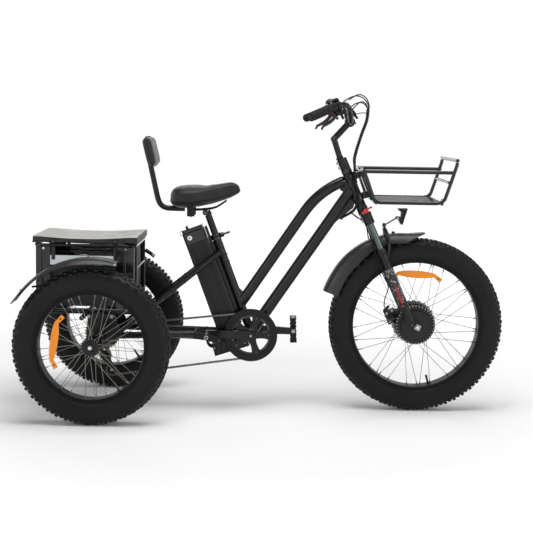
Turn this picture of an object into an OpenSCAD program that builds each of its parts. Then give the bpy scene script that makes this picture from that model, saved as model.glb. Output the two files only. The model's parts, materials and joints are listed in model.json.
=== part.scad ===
// Adult cargo tricycle with fat tyres, a front hub motor and a rear basket.
// Frame: +X forward, +Y to the rider's left, +Z up; the origin is on the floor, at the middle of the length.

/* [Wheels] */
// Distance between the front and rear axles
wheelbase = 1242; // [1220:1:1260]
// Distance between the middles of the rear tyres
track = 702; // [696:1:720]
// Outer radius of the front tyre
front_r = 345; // [342:0.5:348]
// Outer radius of the rear tyres
rear_r = 295; // [292:0.5:297]
// Width of every tyre
tyre_w = 100; // [92:1:102]
// Bead seat radius of the front rim
front_bead = 253.5; // [252:0.5:255]
// Bead seat radius of the rear rims
rear_bead = 203; // [201:0.5:205]
// Number of spokes in each wheel
spokes = 36; // [24:4:36]

/* [Frame] */
// Lean of the steering axis from upright, in degrees
head_lean = 24; // [23.5:0.1:24.5]
// Lean of the seat tube from upright, in degrees
seat_lean = 20.7; // [20:0.1:21.5]
// Outer radius of the head tube
head_r = 20; // [19.5:0.1:22]
// Length of the head tube
head_len = 148; // [144:1:150]
// Outer radius of the seat tube
seat_r = 17; // [16.5:0.1:18]
// Radius of the seatpost
post_r = 13.6; // [13:0.1:13.8]
// Outer radius of the down tube
down_r = 23; // [21:0.5:25]
// Outer radius of the top tube
top_r = 21.5; // [19:0.5:22]

/* [Drive] */
// Length of each crank arm between its axles
crank_len = 171; // [165:1:172]
// Teeth on the chainring
ring_teeth = 44; // [42:1:46]
// Teeth on the smallest sprocket
small_teeth = 14; // [13:1:14]
// Outer radius of the chain guard disc
guard_r = 105; // [102:1:108]

/* [Fork and bars] */
// Distance from the middle plane to each fork leg
leg_y = 76; // [75:0.5:78]
// Radius of the stanchions
stanchion_r = 14; // [13:0.5:14]
// Radius of the handlebar tube
bar_r = 11.1; // [10.8:0.1:11.3]

/* [Basket and rack] */
// Half width of the front rack
rack_half = 215; // [190:1:220]
// Half width of the rear basket
basket_half = 190; // [180:1:192]

/* [Hidden] */
$fn = 96;

// places that the rest is built on
front_x = (wheelbase - (front_r - rear_r)) / 2;
rear_x = front_x - wheelbase;
side_y = track / 2;
race = [371, 0, 811];
bracket = [-57, 0, 300];
axle_forward = (front_x - race[0]) * cos(head_lean) + (front_r - race[2]) * sin(head_lean);
axle_down = (front_x - race[0]) * sin(head_lean) - (front_r - race[2]) * cos(head_lean);
post_top = 500;
collar_at = 405;
shaft_r = 10;
spindle_r = 8.5;
run = 0.05;
butt = 0.1;
pitch = 12.7;
chain_y = -62;
arm_y = 85;
arm_t = 14;
pin_r = 4;
pedal_mid = 140;
deck_z = 392;
carrier_y = 115;
rim_top = 656;
basket_rear = -891;
basket_front = -496;
leg_x = 2;
rotor_y = 58;
rack_z = 840;

function sprocket_r(teeth) = pitch / (2 * sin(180 / teeth));
function unit(v) = v / norm(v);
function ahead(p, i) = unit(p[min(i + 1, len(p) - 1)] - p[max(i - 1, 0)]);
function carried(p, side, i = 0) =
    let (t = ahead(p, i), u = unit(side - t * (side * t)))
    i == len(p) - 1 ? [[u, cross(t, u)]] : concat([[u, cross(t, u)]], carried(p, u, i + 1));
function blend4(a, b, c, d, t) =
    0.5 * (2 * b + (c - a) * t + (2 * a - 5 * b + 4 * c - d) * t * t + (3 * b - a - 3 * c + d) * t * t * t);
function smooth(p, n = 4) = concat(
    [for (i = [0:len(p) - 2]) for (k = [0:n - 1])
        blend4(p[max(i - 1, 0)], p[i], p[i + 1], p[min(i + 2, len(p) - 1)], k / n)],
    [p[len(p) - 1]]);
function flip(p) = [for (q = p) [q[0], -q[1], q[2]]];

// a round bar along a list of points
module sweep(p, r, sides = 10) {
    first = ahead(p, 0);
    f = carried(p, abs(first[1]) < 0.9 ? [0, 1, 0] : [1, 0, 0]);
    rings = len(p);
    points = [for (i = [0:rings - 1]) for (k = [0:sides - 1])
        p[i] + r * (f[i][0] * cos(360 * k / sides) + f[i][1] * sin(360 * k / sides))];
    walls = [for (i = [0:rings - 2]) for (k = [0:sides - 1])
        [i * sides + k, (i + 1) * sides + k, (i + 1) * sides + (k + 1) % sides, i * sides + (k + 1) % sides]];
    start = [for (k = [0:sides - 1]) k];
    end = [for (k = [sides - 1:-1:0]) (rings - 1) * sides + k];
    polyhedron(points, concat([start], walls, [end]));
}

// a straight round bar between two points
module strut(a, b, r) {
    d = b - a;
    translate(a)
        rotate([0, acos(d[2] / norm(d)), atan2(d[1], d[0])])
            cylinder(h = norm(d), r = r, $fn = 48);
}

// a bar across the tricycle, from y0 to y1
module across(x, z, y0, y1, r) {
    translate([x, y1, z])
        rotate([90, 0, 0])
            cylinder(h = y1 - y0, r = r);
}

// an outline in the XZ plane, made solid from y0 to y1
module plate(y0, y1) {
    translate([0, y1, 0])
        rotate([90, 0, 0])
            linear_extrude(y1 - y0)
                children();
}

// a bar bent to a circle about an axis across the tricycle
module bend(x, z, radius, from, turn, r) {
    translate([x, 0, z])
        rotate([90, 0, 0])
            rotate([0, 0, from])
                rotate_extrude(angle = turn, $fn = 96)
                    translate([radius, 0])
                        circle(r = r, $fn = 48);
}

// the frame of the steering axis, with Z up the head tube
module steered() {
    translate(race)
        rotate([0, -head_lean, 0])
            children();
}

// the frame of the seat tube, with Z up the tube from the bottom bracket
module seated() {
    translate(bracket)
        rotate([0, -seat_lean, 0])
            children();
}

// a wheel's own frame, with Z along its axle
module wheel_at(x, y, z) {
    translate([x, y, z])
        rotate([90, 0, 0])
            children();
}

// outline of an arm with round ends of two sizes
function arm_outline(a, b, ra, rb, n = 12) =
    let (turn = atan2(b[1] - a[1], b[0] - a[0]), d = norm(b - a), tilt = acos((ra - rb) / d))
    concat(
        [for (k = [0:n]) let (w = turn + tilt + (360 - 2 * tilt) * k / n) a + ra * [cos(w), sin(w)]],
        [for (k = [0:n]) let (w = turn - tilt + 2 * tilt * k / n) b + rb * [cos(w), sin(w)]]);

// ---- frame ----

module head_bore(r, extra = 5) {
    steered()
        translate([0, 0, -extra])
            cylinder(h = head_len + 2 * extra, r = r);
}

module seat_bore(r) {
    seated()
        translate([0, 0, 60])
            cylinder(h = collar_at + 60, r = r);
}

module main_frame() {
    down_end = [330, 0, 876];
    curve_r = 330;
    curve_at = [421.6, 602.9];
    difference() {
        union() {
            steered()
                cylinder(h = head_len, r = head_r);
            seated()
                cylinder(h = collar_at + 12, r = seat_r);
            strut(bracket, down_end, down_r);
            strut([-98, 0, 419], [148, 0, 787.6], top_r - 0.3);
            bend(curve_at[0], curve_at[1], curve_r, 112, 34.5, top_r);
            across(bracket[0], bracket[2], -34, 34, 21);
            plate(-16, 16)
                polygon([[262, 742], [338, 806], [346, 832], [300, 850], [285, 800]]);
            plate(-12, 12)
                polygon([[-118, 440], [-98, 430], [-84, 452], [-94, 466], [-106, 478]]);
            plate(-14, 14)
                polygon([[290, 852], [297, 863], [297, 874], [290, 884], [330, 905], [336, 870]]);
            strut([-181, -54, 628], [-181, 54, 628], 10);
        }
        head_bore(17);
        seat_bore(post_r + run);
        across(bracket[0], bracket[2], -40, 40, 17.5);
    }
}

module rear_frame() {
    rail_front = -440;
    rail_rear = -876;
    difference() {
        union() {
            for (s = [-1, 1]) {
                strut([-84, s * 27, 299], [-590, s * carrier_y, 297], 13);
                strut([-181, s * 54, 628], [-600, s * carrier_y, 290], 12);
                strut([rail_front, s * carrier_y, deck_z], [rail_rear, s * carrier_y, deck_z], 11);
                plate(s * carrier_y - 5, s * carrier_y + 5)
                    polygon([[-700, 260], [-590, 262], [-556, 300], [-600, 398], [-692, 398]]);
            }
            for (x = [-470, -640, -866])
                across(x, deck_z, -basket_half + 6, basket_half - 6, 9);
            across(rear_x, rear_r, -290, -88, 24);
            across(rear_x, rear_r, -14, 290, 24);
            for (y = [-103, 30, 103])
                translate([rear_x - 8, y - 5, rear_r])
                    cube([16, 10, 90]);
        }
        across(rear_x, rear_r, -300, 300, 16);
        across(bracket[0], bracket[2], -60, 60, 21);
        across(-181, 628, -53, 53, 13);
    }
}

module ring(x, z, y0, y1, outer, inner) {
    difference() {
        across(x, z, y0, y1, outer);
        across(x, z, y0 - 1, y1 + 1, inner);
    }
}

module bearings() {
    color("silver") {
        steered()
            for (z = [-3, head_len - 14])
                translate([0, 0, z])
                    difference() {
                        union() {
                            translate([0, 0, z < 0 ? 3 : 0])
                                cylinder(h = 14, r = 17);
                            translate([0, 0, z < 0 ? 0 : 14])
                                cylinder(h = 3, r = 21.5);
                        }
                        translate([0, 0, -1])
                            cylinder(h = 20, r = 14.25 + run);
                    }
        for (s = [-1, 1])
            ring(bracket[0], bracket[2], min(s * 14, s * 37), max(s * 14, s * 37), 17.5, spindle_r + run);
        for (y = [-290, -130, -102, -14, 12, 276])
            ring(rear_x, rear_r, y, y + 14, 16, shaft_r + run);
    }
}

module seat_collar() {
    color("dimgray")
        seated()
            translate([0, 0, collar_at - 6])
                difference() {
                    union() {
                        cylinder(h = 18, r = seat_r + 4);
                        translate([12, -9, 0])
                            cube([20, 18, 18]);
                    }
                    translate([0, 0, -1])
                        cylinder(h = 20, r = seat_r);
                    translate([10, -1, -1])
                        cube([30, 2, 20]);
                    translate([26, -20, 9])
                        rotate([-90, 0, 0])
                            cylinder(h = 40, r = 3);
                }
}

module battery_rail() {
    color("dimgray")
        seated() {
            translate([-30, -13, 66])
                cube([10, 26, 396]);
            translate([-120, -27, 54])
                cube([100, 54, 7]);
            for (z = [120, 230, 340])
                translate([-22, -6, z])
                    cube([5.2, 12, 20]);
        }
}

module controller_box() {
    color("black")
        plate(-37, 37)
            polygon([[-212, 256], [-198, 207], [-62, 252], [-72, 272], [-112, 278]]);
}

// ---- rear basket and mudguards ----

// corners of a rectangle with round corners, as points at one height
function loop_points(x0, x1, y, z, r) = [
    for (c = [[x1 - r, y - r, 0], [x0 + r, y - r, 90], [x0 + r, r - y, 180], [x1 - r, r - y, 270]])
        for (k = [0:4]) [c[0] + r * cos(c[2] + k * 22.5), c[1] + r * sin(c[2] + k * 22.5), z]];

// a level loop of tube, as four bends with straight bars butted between them
module round_loop(x0, x1, y, z, tube) {
    stub = 3;
    p = loop_points(x0, x1, y, z, 22);
    for (k = [0:3]) {
        before = [sin(90 * k), -cos(90 * k), 0];
        after = [-cos(90 * k), -sin(90 * k), 0];
        a = p[5 * k + 4];
        b = p[(5 * k + 5) % 20];
        sweep(concat([p[5 * k] + stub * before], [for (i = [0:4]) p[5 * k + i]], [a + stub * after]),
            tube, 8);
        strut(a + (stub + butt) * after, b - (stub + butt) * after, tube);
    }
}

module basket_frame() {
    tube_r = 6;
    floor_z = deck_z + 16;
    foot = floor_z + tube_r + butt;
    head = rim_top - tube_r - butt;
    panel = 52;
    side_wall = basket_half + 2 + butt;
    color("black") {
        for (z = [floor_z, rim_top])
            round_loop(basket_rear + tube_r, basket_front - tube_r, basket_half, z, tube_r);
        for (s = [-1, 1]) {
            for (x = [basket_rear + 30, basket_front - 46])
                strut([x, s * basket_half, foot], [x, s * basket_half, head], 5);
            for (x = [basket_rear + 12, basket_front - 12 - panel - 14])
                translate([x, s * basket_half - 2, foot])
                    cube([x < -800 ? panel : panel + 14, 4, head - foot]);
            for (x = [basket_rear + tube_r, basket_front - tube_r])
                strut([x, s * 150, foot], [x, s * 150, head], 5);
            strut([basket_front - 66, s * side_wall, 600], [basket_front - 58, s * 300, 606], 4);
            strut([basket_rear + 46, s * side_wall, 500], [basket_rear + 16, s * 300, 508], 4);
        }
        for (x = [basket_rear + tube_r, basket_front - tube_r])
            across(x, 566, -150 + 5 + butt, 150 - 5 - butt, 4.5);
        strut([-496.5, 150, 609], [-458, 150, 584], 8);
        across(basket_rear + 200, deck_z, -300, 300, 9);
    }
}

module basket_liner() {
    wall = 3;
    inset = 12;
    low = deck_z + 26;
    color("black")
        difference() {
            translate([basket_rear + inset + 6, -basket_half + inset, low])
                cube([basket_front - basket_rear - 2 * inset - 12, 2 * (basket_half - inset), 222]);
            translate([basket_rear + inset + 6 + wall, -basket_half + inset + wall, low + wall])
                cube([basket_front - basket_rear - 2 * (inset + wall) - 12,
                    2 * (basket_half - inset - wall), 300]);
            translate([basket_rear + 64, -300, 578])
                cube([basket_front - basket_rear - 142, 600, 100]);
        }
}

module basket_cover() {
    sheet = 5;
    low = rim_top + 7;
    mid = (basket_front + basket_rear) / 2;
    span = (basket_front - basket_rear) / 2 + 2;
    color("silver")
        difference() {
            plate(-basket_half - 6, basket_half + 6)
                polygon(concat([[mid - span, low], [mid + span, low]],
                    [for (k = [0:12]) let (t = 1 - k / 6) [mid + t * span, 684 + 12 * t * t]]));
            plate(-basket_half - 1, basket_half + 1)
                polygon(concat([[mid - span + 5, low - 5], [mid + span - 5, low - 5]],
                    [for (k = [0:12]) let (t = 1 - k / 6) [mid + t * (span - 5), 684 - sheet + 12 * t * t]]));
        }
}

// cross section of a mudguard that is open towards the wheel
function guard_section(r, half, drop, t) = [
    [r - drop, half], [r - 6, half], [r, half - 14], [r, 14 - half], [r - 6, -half], [r - drop, -half],
    [r - drop, t - half], [r - 7, t - half], [r - t, 15 - half], [r - t, half - 15], [r - 7, half - t],
    [r - drop, half - t]];

module guard(x, y, z, r, from, turn, half, drop) {
    wheel_at(x, y, z)
        rotate([0, 0, from])
            rotate_extrude(angle = turn)
                polygon(guard_section(r, half, drop, 2.5));
}

module rear_mudguards() {
    color("dimgray")
        for (s = [-1, 1])
            guard(rear_x, s * side_y, rear_r, rear_r + 38, 73, 78, 56, 22);
}

// ---- front rack ----

module front_rack() {
    tube_r = 7;
    inner = rack_half - tube_r - butt;
    side = [[363, 0, 957], [370, 0, 941], [401, 0, 856], [409, 0, 845], [424, 0, rack_z], [530, 0, rack_z],
        [640, 0, rack_z], [660, 0, 844], [671, 0, 856], [694, 0, 926], [712, 0, 984], [714, 0, 995.5]];
    color("black") {
        for (s = [-1, 1]) {
            sweep([for (q = side) [q[0], s * rack_half, q[2]]], tube_r, 10);
            strut([366, s * rack_half, 957], [703, s * rack_half, 957], tube_r);
        }
        across(714, 1003, -rack_half - 6, rack_half + 6, tube_r);
        across(691, 918, -inner, inner, 6);
        across(364, 957, -inner, inner, tube_r);
        for (x = [412, 662])
            across(x, rack_z - 2, -inner, inner, 6);
        for (y = [-140, -70, 0, 70, 140])
            translate([412, y - 10, rack_z + 2])
                cube([250, 20, 3]);
        // back plate and its two clamps on the head tube
        difference() {
            union() {
                plate(-26, 26)
                    polygon([[352, 966], [376, 966], [424, 838], [404, 838]]);
                plate(-12, 12)
                    polygon([[300, 936], [322, 936], [368, 952], [368, 930], [330, 908], [302, 908]]);
                plate(-12, 12)
                    polygon([[330, 856], [390, 872], [400, 848], [345, 832]]);
                for (z = [26, 118])
                    steered()
                        translate([0, 0, z])
                            cylinder(h = 22, r = head_r + 5);
            }
            head_bore(head_r, 30);
            steered()
                translate([-60, -40, -20])
                    cube([59, 80, 200]);
        }
    }
}

// ---- steering ----

module fork_crown() {
    color("black")
        difference() {
            steered() {
                translate([0, 0, -40])
                    cylinder(h = 245, r = 14.25);
                translate([0, 0, -30])
                    cylinder(h = 26.5, r = 22);
                translate([-19, -leg_y, -60])
                    cube([40, 2 * leg_y, 34]);
                for (s = [-1, 1])
                    translate([leg_x, s * leg_y, -70])
                        cylinder(h = 46, r = 20.5);
            }
            steered()
                for (s = [-1, 1])
                    translate([leg_x, s * leg_y, -71])
                        cylinder(h = 41, r = stanchion_r);
        }
}

module stanchions() {
    color("slategray")
        steered()
            for (s = [-1, 1])
                translate([leg_x, s * leg_y, -300])
                    cylinder(h = 270, r = stanchion_r);
}

module lockout_caps() {
    color("red")
        steered() {
            for (s = [-1, 1])
                translate([leg_x, s * leg_y, -24])
                    cylinder(h = 9, r = 15);
            translate([leg_x, -leg_y - 4, -15])
                cube([26, 8, 4]);
        }
}

module stem() {
    color("black")
        difference() {
            steered() {
                translate([0, 0, head_len + 4.2])
                    cylinder(h = 52, r = 20);
                strut([-6, 0, head_len + 40], [3, 0, 286], 12);
                translate([3, -14, 287])
                    rotate([-90, 0, 0])
                        cylinder(h = 28, r = 13);
                strut([3, 0, 287], [86, 0, 324], 12.5);
                translate([86, -23, 324])
                    rotate([-90, 0, 0])
                        cylinder(h = 46, r = 20);
                for (z = [168, 188])
                    translate([-26, -8, z])
                        cube([12, 16, 10]);
            }
            steered()
                translate([0, 0, head_len])
                    cylinder(h = 57, r = 14.25);
            bar_bore();
        }
}

// middle of the bar clamp, which the bar and its bore share
clamp_at = [317.8, 0, 1142];
bar_side = [clamp_at, [317.8, 55, 1142], [316, 80, 1149], [310, 118, 1176], [304, 142, 1193],
    [293, 168, 1204], [271, 190, 1205], [246, 212, 1197], [152, 334, 1155]];
grip_from = bar_side[7];
grip_way = unit(bar_side[8] - bar_side[7]);

module bar_bore() {
    across(clamp_at[0], clamp_at[2], -40, 40, bar_r);
}

module handlebar() {
    half = [for (i = [1:8]) bar_side[i]];
    path = concat([for (i = [7:-1:0]) half[i]], flip(half));
    color("black")
        sweep(smooth(path, 2), bar_r, 14);
}

// the frame of one grip, with Z out along the grip and Y down and forward of it
module on_grip(s) {
    g = [grip_way[0], s * grip_way[1], grip_way[2]];
    seed = [0.5, 0, -0.866];
    q = unit(seed - g * (seed * g));
    x = cross(q, g);
    at = [grip_from[0], s * grip_from[1], grip_from[2]];
    multmatrix([[x[0], q[0], g[0], at[0]], [x[1], q[1], g[1], at[1]], [x[2], q[2], g[2], at[2]],
        [0, 0, 0, 1]])
        children();
}

module sleeve(z0, z1, outer, inner) {
    translate([0, 0, z0])
        difference() {
            cylinder(h = z1 - z0, r = outer, $fn = 48);
            translate([0, 0, -1])
                cylinder(h = z1 - z0 + 2, r = inner, $fn = 48);
        }
}

module grips() {
    color("dimgray") {
        on_grip(1)
            sleeve(20, 152, 16.5, bar_r + 0.4);
        on_grip(-1)
            sleeve(62, 152, 16.5, bar_r + 0.4);
        for (s = [-1, 1])
            on_grip(s)
                translate([0, 0, 153.8])
                    cylinder(h = 4, r = 16.5, $fn = 48);
    }
}

module throttle() {
    color("black")
        on_grip(-1)
            sleeve(21, 60, 17, bar_r + 0.6);
}

pivot_y = 26;
pivot_z = 6;

module lever_mounts() {
    color("black")
        for (s = [-1, 1])
            on_grip(s) {
                sleeve(0, 18, 16, bar_r + 0.4);
                translate([-7, 14, -2])
                    cube([3, 22, 18]);
                translate([4, 14, -2])
                    cube([3, 22, 18]);
                translate([-7, pivot_y, pivot_z])
                    rotate([0, 90, 0])
                        cylinder(h = 14, r = 3, $fn = 32);
                sleeve(-26, -4, 17, bar_r + 0.6);
                translate([-10, 17, -26])
                    cube([20, 10, 20]);
            }
}

module lever_blade() {
    difference() {
        union() {
            translate([-3.5, pivot_y, pivot_z])
                rotate([0, 90, 0])
                    cylinder(h = 7, r = 7, $fn = 32);
            translate([-3.5, 0, 0])
                rotate([0, 90, 0])
                    linear_extrude(7)
                        polygon([[-4, 26], [-12, 30], [-30, 42], [-70, 50], [-112, 52], [-128, 60],
                            [-130, 56], [-114, 43], [-70, 41], [-34, 33], [-12, 20]]);
        }
        translate([-10, pivot_y, pivot_z])
            rotate([0, 90, 0])
                cylinder(h = 20, r = 3 + run, $fn = 32);
    }
}

module brake_lever_left() {
    color("silver")
        on_grip(1)
            lever_blade();
}

module brake_lever_right() {
    color("silver")
        on_grip(-1)
            lever_blade();
}

// a small thumb paddle beside its pod
module paddle() {
    translate([0, 31, -16])
        rotate([0, 90, 0])
            translate([0, 0, -4])
                cylinder(h = 8, r = 3.5, $fn = 32);
    translate([-4, 32, -19])
        cube([8, 24, 6]);
}

module shift_lever() {
    color("black")
        on_grip(-1)
            paddle();
}

module bell_lever() {
    color("black")
        on_grip(1)
            paddle();
}

module display() {
    color("black")
        translate([322, 0, 1186])
            rotate([0, -40, 0]) {
                translate([-7, -36, -24])
                    cube([14, 72, 48]);
                translate([-4, -14, -40])
                    cube([8, 28, 17]);
            }
}

module handlebar_cables() {
    color("black") {
        sweep(smooth([[388, 0, 1192], [384, 0, 1150], [367, 0, 1100], [350, 0, 1045], [341, -4, 1010]], 3),
            6.5, 8);
        for (s = [-1, 1]) {
            sweep(smooth([[300, s * 176, 1238], [342, s * 120, 1246], [374, s * 60, 1236],
                [391, s * 16, 1206]], 3), 2.5, 6);
            sweep(smooth([[304, s * 160, 1186], [346, s * 110, 1216], [372, s * 50, 1216],
                [386, s * 9, 1196]], 3), 2.5, 6);
        }
    }
}

// ---- fork lowers and what they carry ----

module axle_local(y0, y1, r) {
    translate([axle_forward, y0, -axle_down])
        rotate([-90, 0, 0])
            cylinder(h = y1 - y0, r = r);
}

module fork_lowers() {
    arch = [[8, 76, -222], [30, 72, -196], [46, 58, -150], [50, 30, -124], [50, 0, -118]];
    color("black")
        difference() {
            steered() {
                for (s = [-1, 1]) {
                    translate([leg_x, s * leg_y, -500])
                        cylinder(h = 324, r = 17);
                    translate([leg_x, s * leg_y, -200])
                        cylinder(h = 24.5, r = 18.5);
                    translate([0, s * 73 + 5, 0])
                        rotate([90, 0, 0])
                            linear_extrude(10)
                                polygon(arm_outline([leg_x, -486], [axle_forward, -axle_down], 16, 15));
                }
                sweep(smooth(concat(arch, [for (i = [3:-1:0]) [arch[i][0], -arch[i][1], arch[i][2]]]), 2),
                    8, 10);
            }
            steered() {
                for (s = [-1, 1])
                    translate([leg_x, s * leg_y, -490])
                        cylinder(h = 400, r = stanchion_r + run);
                axle_local(-100, 100, 6);
            }
        }
}

module front_mudguard() {
    guard_at = [533, 375];
    color("dimgray") {
        guard(guard_at[0], 0, guard_at[1], 334, 76, 86, 57, 36);
        strut([500, -6, 704], [500, -6, 716], 5);
    }
}

lamp_pivot = [514, 0, 768];

module light_bracket() {
    color("black") {
        translate([456, -10, 732])
            cube([14, 20, 12]);
        for (s = [-1, 1])
            strut([463, s * 8, 738], lamp_pivot + [-2, s * 8, 0], 1.8);
        across(lamp_pivot[0], lamp_pivot[2], -11, 11, 2.5);
    }
}

module headlight() {
    color("black")
        difference() {
            union() {
                plate(-30, 30)
                    polygon([[517, 805], [553, 806], [549, 797], [533, 743], [528, 743], [515, 766],
                        [530, 773], [532, 792], [519, 797]]);
                for (y = [-18, 12])
                    plate(y, y + 6)
                        polygon(arm_outline([lamp_pivot[0], lamp_pivot[2]], [524, 768], 6, 5));
            }
            across(lamp_pivot[0], lamp_pivot[2], -30, 30, 2.5 + run);
        }
}

module brake_caliper() {
    color("black")
        steered()
            difference() {
                union() {
                    translate([-80, 44, -488])
                        cube([46, 28, 56]);
                    translate([-36, 62, -478])
                        cube([24, 10, 36]);
                }
                translate([-90, rotor_y - 3, -500])
                    cube([76, 6, 74]);
            }
}

module front_axle() {
    color("silver")
        steered() {
            axle_local(-98, 98, 6);
            axle_local(-88, -78.2, 12);
            axle_local(78.2, 88, 12);
        }
}

// ---- wheels ----

// hollow tyre that sits in its rim, as half-widths by radius
function tyre_section(r, bead, half) =
    let (side = [[bead + 1.5, 34], [bead + 16, half - 5], [bead + 0.52 * (r - bead), half],
            [r - 24, half - 3], [r - 7, half - 13], [r, half - 22]],
        inner = [[r - 9, half - 26], [r - 26, half - 10], [bead + 0.52 * (r - bead), half - 5],
            [bead + 17, half - 10], [bead + 1.5, 28]])
    concat(side, [for (i = [5:-1:0]) [side[i][0], -side[i][1]]],
        [for (i = [4:-1:0]) [inner[i][0], -inner[i][1]]], inner);

function rim_section(bead) =
    let (out = [[bead - 5.5, 30], [bead - 3, 38], [bead + 7, 40]],
        inside = [[bead + 7, 37.5], [bead + 1, 35.5], [bead - 2.5, 27]])
    concat([for (i = [0:2]) out[i]], inside, [for (i = [2:-1:0]) [inside[i][0], -inside[i][1]]],
        [for (i = [2:-1:0]) [out[i][0], -out[i][1]]]);

module tyre(r, bead) {
    color("dimgray")
        rotate([0, 0, 90 - 180 / 72])
            rotate_extrude($fn = 72)
                polygon(tyre_section(r, bead, tyre_w / 2));
}

module rim(bead) {
    color("black")
        rotate_extrude()
            polygon(rim_section(bead));
}

// crossed spokes from two flanges to the rim
module spoke_set(flange_r, flange_y, bead) {
    lean = 24;
    for (i = [0:spokes / 2 - 1])
        for (s = [-1, 1]) {
            a = i * 720 / spokes + (s > 0 ? 0 : 360 / spokes);
            way = i % 2 == 0 ? 1 : -1;
            b = a + way * lean;
            step = way * 1.6;
            strut([flange_r * cos(a), flange_r * sin(a), s * (flange_y + step)],
                [(bead - 5) * cos(b), (bead - 5) * sin(b), s * (6 + step)], 1);
        }
}

module rear_hub() {
    flange_r = 36;
    difference() {
        union() {
            translate([0, 0, -34])
                cylinder(h = 68, r = 22);
            for (z = [-34, 30])
                translate([0, 0, z])
                    cylinder(h = 4, r = flange_r);
        }
        translate([0, 0, -40])
            cylinder(h = 80, r = shaft_r);
    }
    spoke_set(flange_r + 0.6, 32, rear_bead);
}

module front_tyre() {
    wheel_at(front_x, 0, front_r)
        tyre(front_r, front_bead);
}

module front_rim() {
    wheel_at(front_x, 0, front_r)
        rim(front_bead);
}

module front_spokes() {
    color("silver")
        wheel_at(front_x, 0, front_r)
            spoke_set(78.6, 25, front_bead);
}

module hub_motor() {
    color("black")
        wheel_at(front_x, 0, front_r)
            difference() {
                union() {
                    translate([0, 0, -27])
                        cylinder(h = 54, r = 74);
                    for (z = [-27, 23])
                        translate([0, 0, z])
                            cylinder(h = 4, r = 78);
                    translate([0, 0, -38])
                        cylinder(h = 84, r = 58);
                    translate([0, 0, -55.5])
                        cylinder(h = 100, r = 22);
                    for (k = [0:11])
                        rotate([0, 0, k * 30])
                            translate([66, 0, 20])
                                cylinder(h = 10, r = 3.5, $fn = 24);
                }
                translate([0, 0, -70])
                    cylinder(h = 140, r = 6 + run);
            }
}

module brake_rotor() {
    color("silver")
        wheel_at(front_x, rotor_y, front_r)
            difference() {
                translate([0, 0, -1])
                    cylinder(h = 2, r = 90);
                for (k = [0:5])
                    rotate([0, 0, k * 60])
                        translate([50, 0, -2])
                            cylinder(h = 4, r = 15);
                translate([0, 0, -2])
                    cylinder(h = 4, r = 15);
            }
}

module rear_tyre_at(s) {
    wheel_at(rear_x, s * side_y, rear_r)
        tyre(rear_r, rear_bead);
}

module rear_rim_at(s) {
    wheel_at(rear_x, s * side_y, rear_r)
        rim(rear_bead);
}

module rear_hub_at(s) {
    color("black")
        wheel_at(rear_x, s * side_y, rear_r)
            rear_hub();
}

module left_tyre() {
    rear_tyre_at(1);
}

module left_rim() {
    rear_rim_at(1);
}

module left_hub() {
    rear_hub_at(1);
}

module right_tyre() {
    rear_tyre_at(-1);
}

module right_rim() {
    rear_rim_at(-1);
}

module right_hub() {
    rear_hub_at(-1);
}

module left_shaft() {
    color("silver") {
        across(rear_x, rear_r, 2, side_y + 40, shaft_r);
        across(rear_x, rear_r, side_y + 34.2, side_y + 44, 14);
    }
}

module right_shaft() {
    color("silver") {
        across(rear_x, rear_r, -side_y - 40, -104, shaft_r);
        across(rear_x, rear_r, -side_y - 44, -side_y - 34.2, 14);
    }
}

// ---- drive ----

function cog(teeth) =
    let (r = sprocket_r(teeth))
    [for (k = [0:2 * teeth - 1])
        (k % 2 == 0 ? r - 3.5 : r + 3) * [cos(180 * k / teeth), sin(180 * k / teeth)]];

module sprocket(teeth, y, t, bore) {
    plate(y - t / 2, y + t / 2)
        difference() {
            polygon(cog(teeth));
            circle(r = bore);
        }
}

module chainring() {
    color("black")
        translate([bracket[0], 0, bracket[2]]) {
            plate(chain_y - 1, chain_y + 1)
                difference() {
                    polygon(cog(ring_teeth));
                    circle(r = 70);
                }
            plate(-72, -67)
                difference() {
                    circle(r = guard_r);
                    circle(r = 80);
                }
            for (k = [0:4])
                rotate([0, k * 72, 0])
                    plate(-70, chain_y + 0.4)
                        translate([20, -7])
                            square([63, 14]);
            ring(0, 0, -77.8, -60, 26, spindle_r);
        }
}

// where the free ends of the crank arms are at rest
right_pin = [bracket[0] - crank_len * cos(2), bracket[2] + crank_len * sin(2)];
left_pin = [bracket[0] + crank_len * cos(2), bracket[2] - crank_len * sin(2)];

module crank_arms() {
    hub = [bracket[0], bracket[2]];
    color("black") {
        across(bracket[0], bracket[2], -arm_y - 7, arm_y + 7, spindle_r);
        plate(-arm_y - arm_t / 2, -arm_y + arm_t / 2)
            polygon(arm_outline(hub, right_pin, 18, 13));
        plate(arm_y - arm_t / 2, arm_y + arm_t / 2)
            polygon(arm_outline(hub, left_pin, 18, 13));
        across(right_pin[0], right_pin[1], -190, -arm_y, pin_r);
        across(left_pin[0], left_pin[1], arm_y, 190, pin_r);
    }
}

module pedal(pin, s, tilt) {
    half_w = 44;
    half_l = 50;
    color("dimgray")
        translate([pin[0], s * pedal_mid, pin[1]])
            rotate([0, tilt, 0])
                difference() {
                    union() {
                        across(0, 0, -half_w, half_w, 11);
                        for (y = [-half_w, half_w - 6])
                            translate([-half_l, y, -11])
                                cube([2 * half_l, 6, 22]);
                        for (x = [-half_l, half_l - 6])
                            translate([x, -half_w, -11])
                                cube([6, 2 * half_w, 22]);
                        translate([-half_l, -3, -8])
                            cube([2 * half_l, 6, 16]);
                    }
                    across(0, 0, -half_w - 1, half_w + 1, pin_r + run);
                }
}

module pedal_right() {
    pedal(right_pin, -1, 12);
}

module pedal_left() {
    pedal(left_pin, 1, 88);
}

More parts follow.
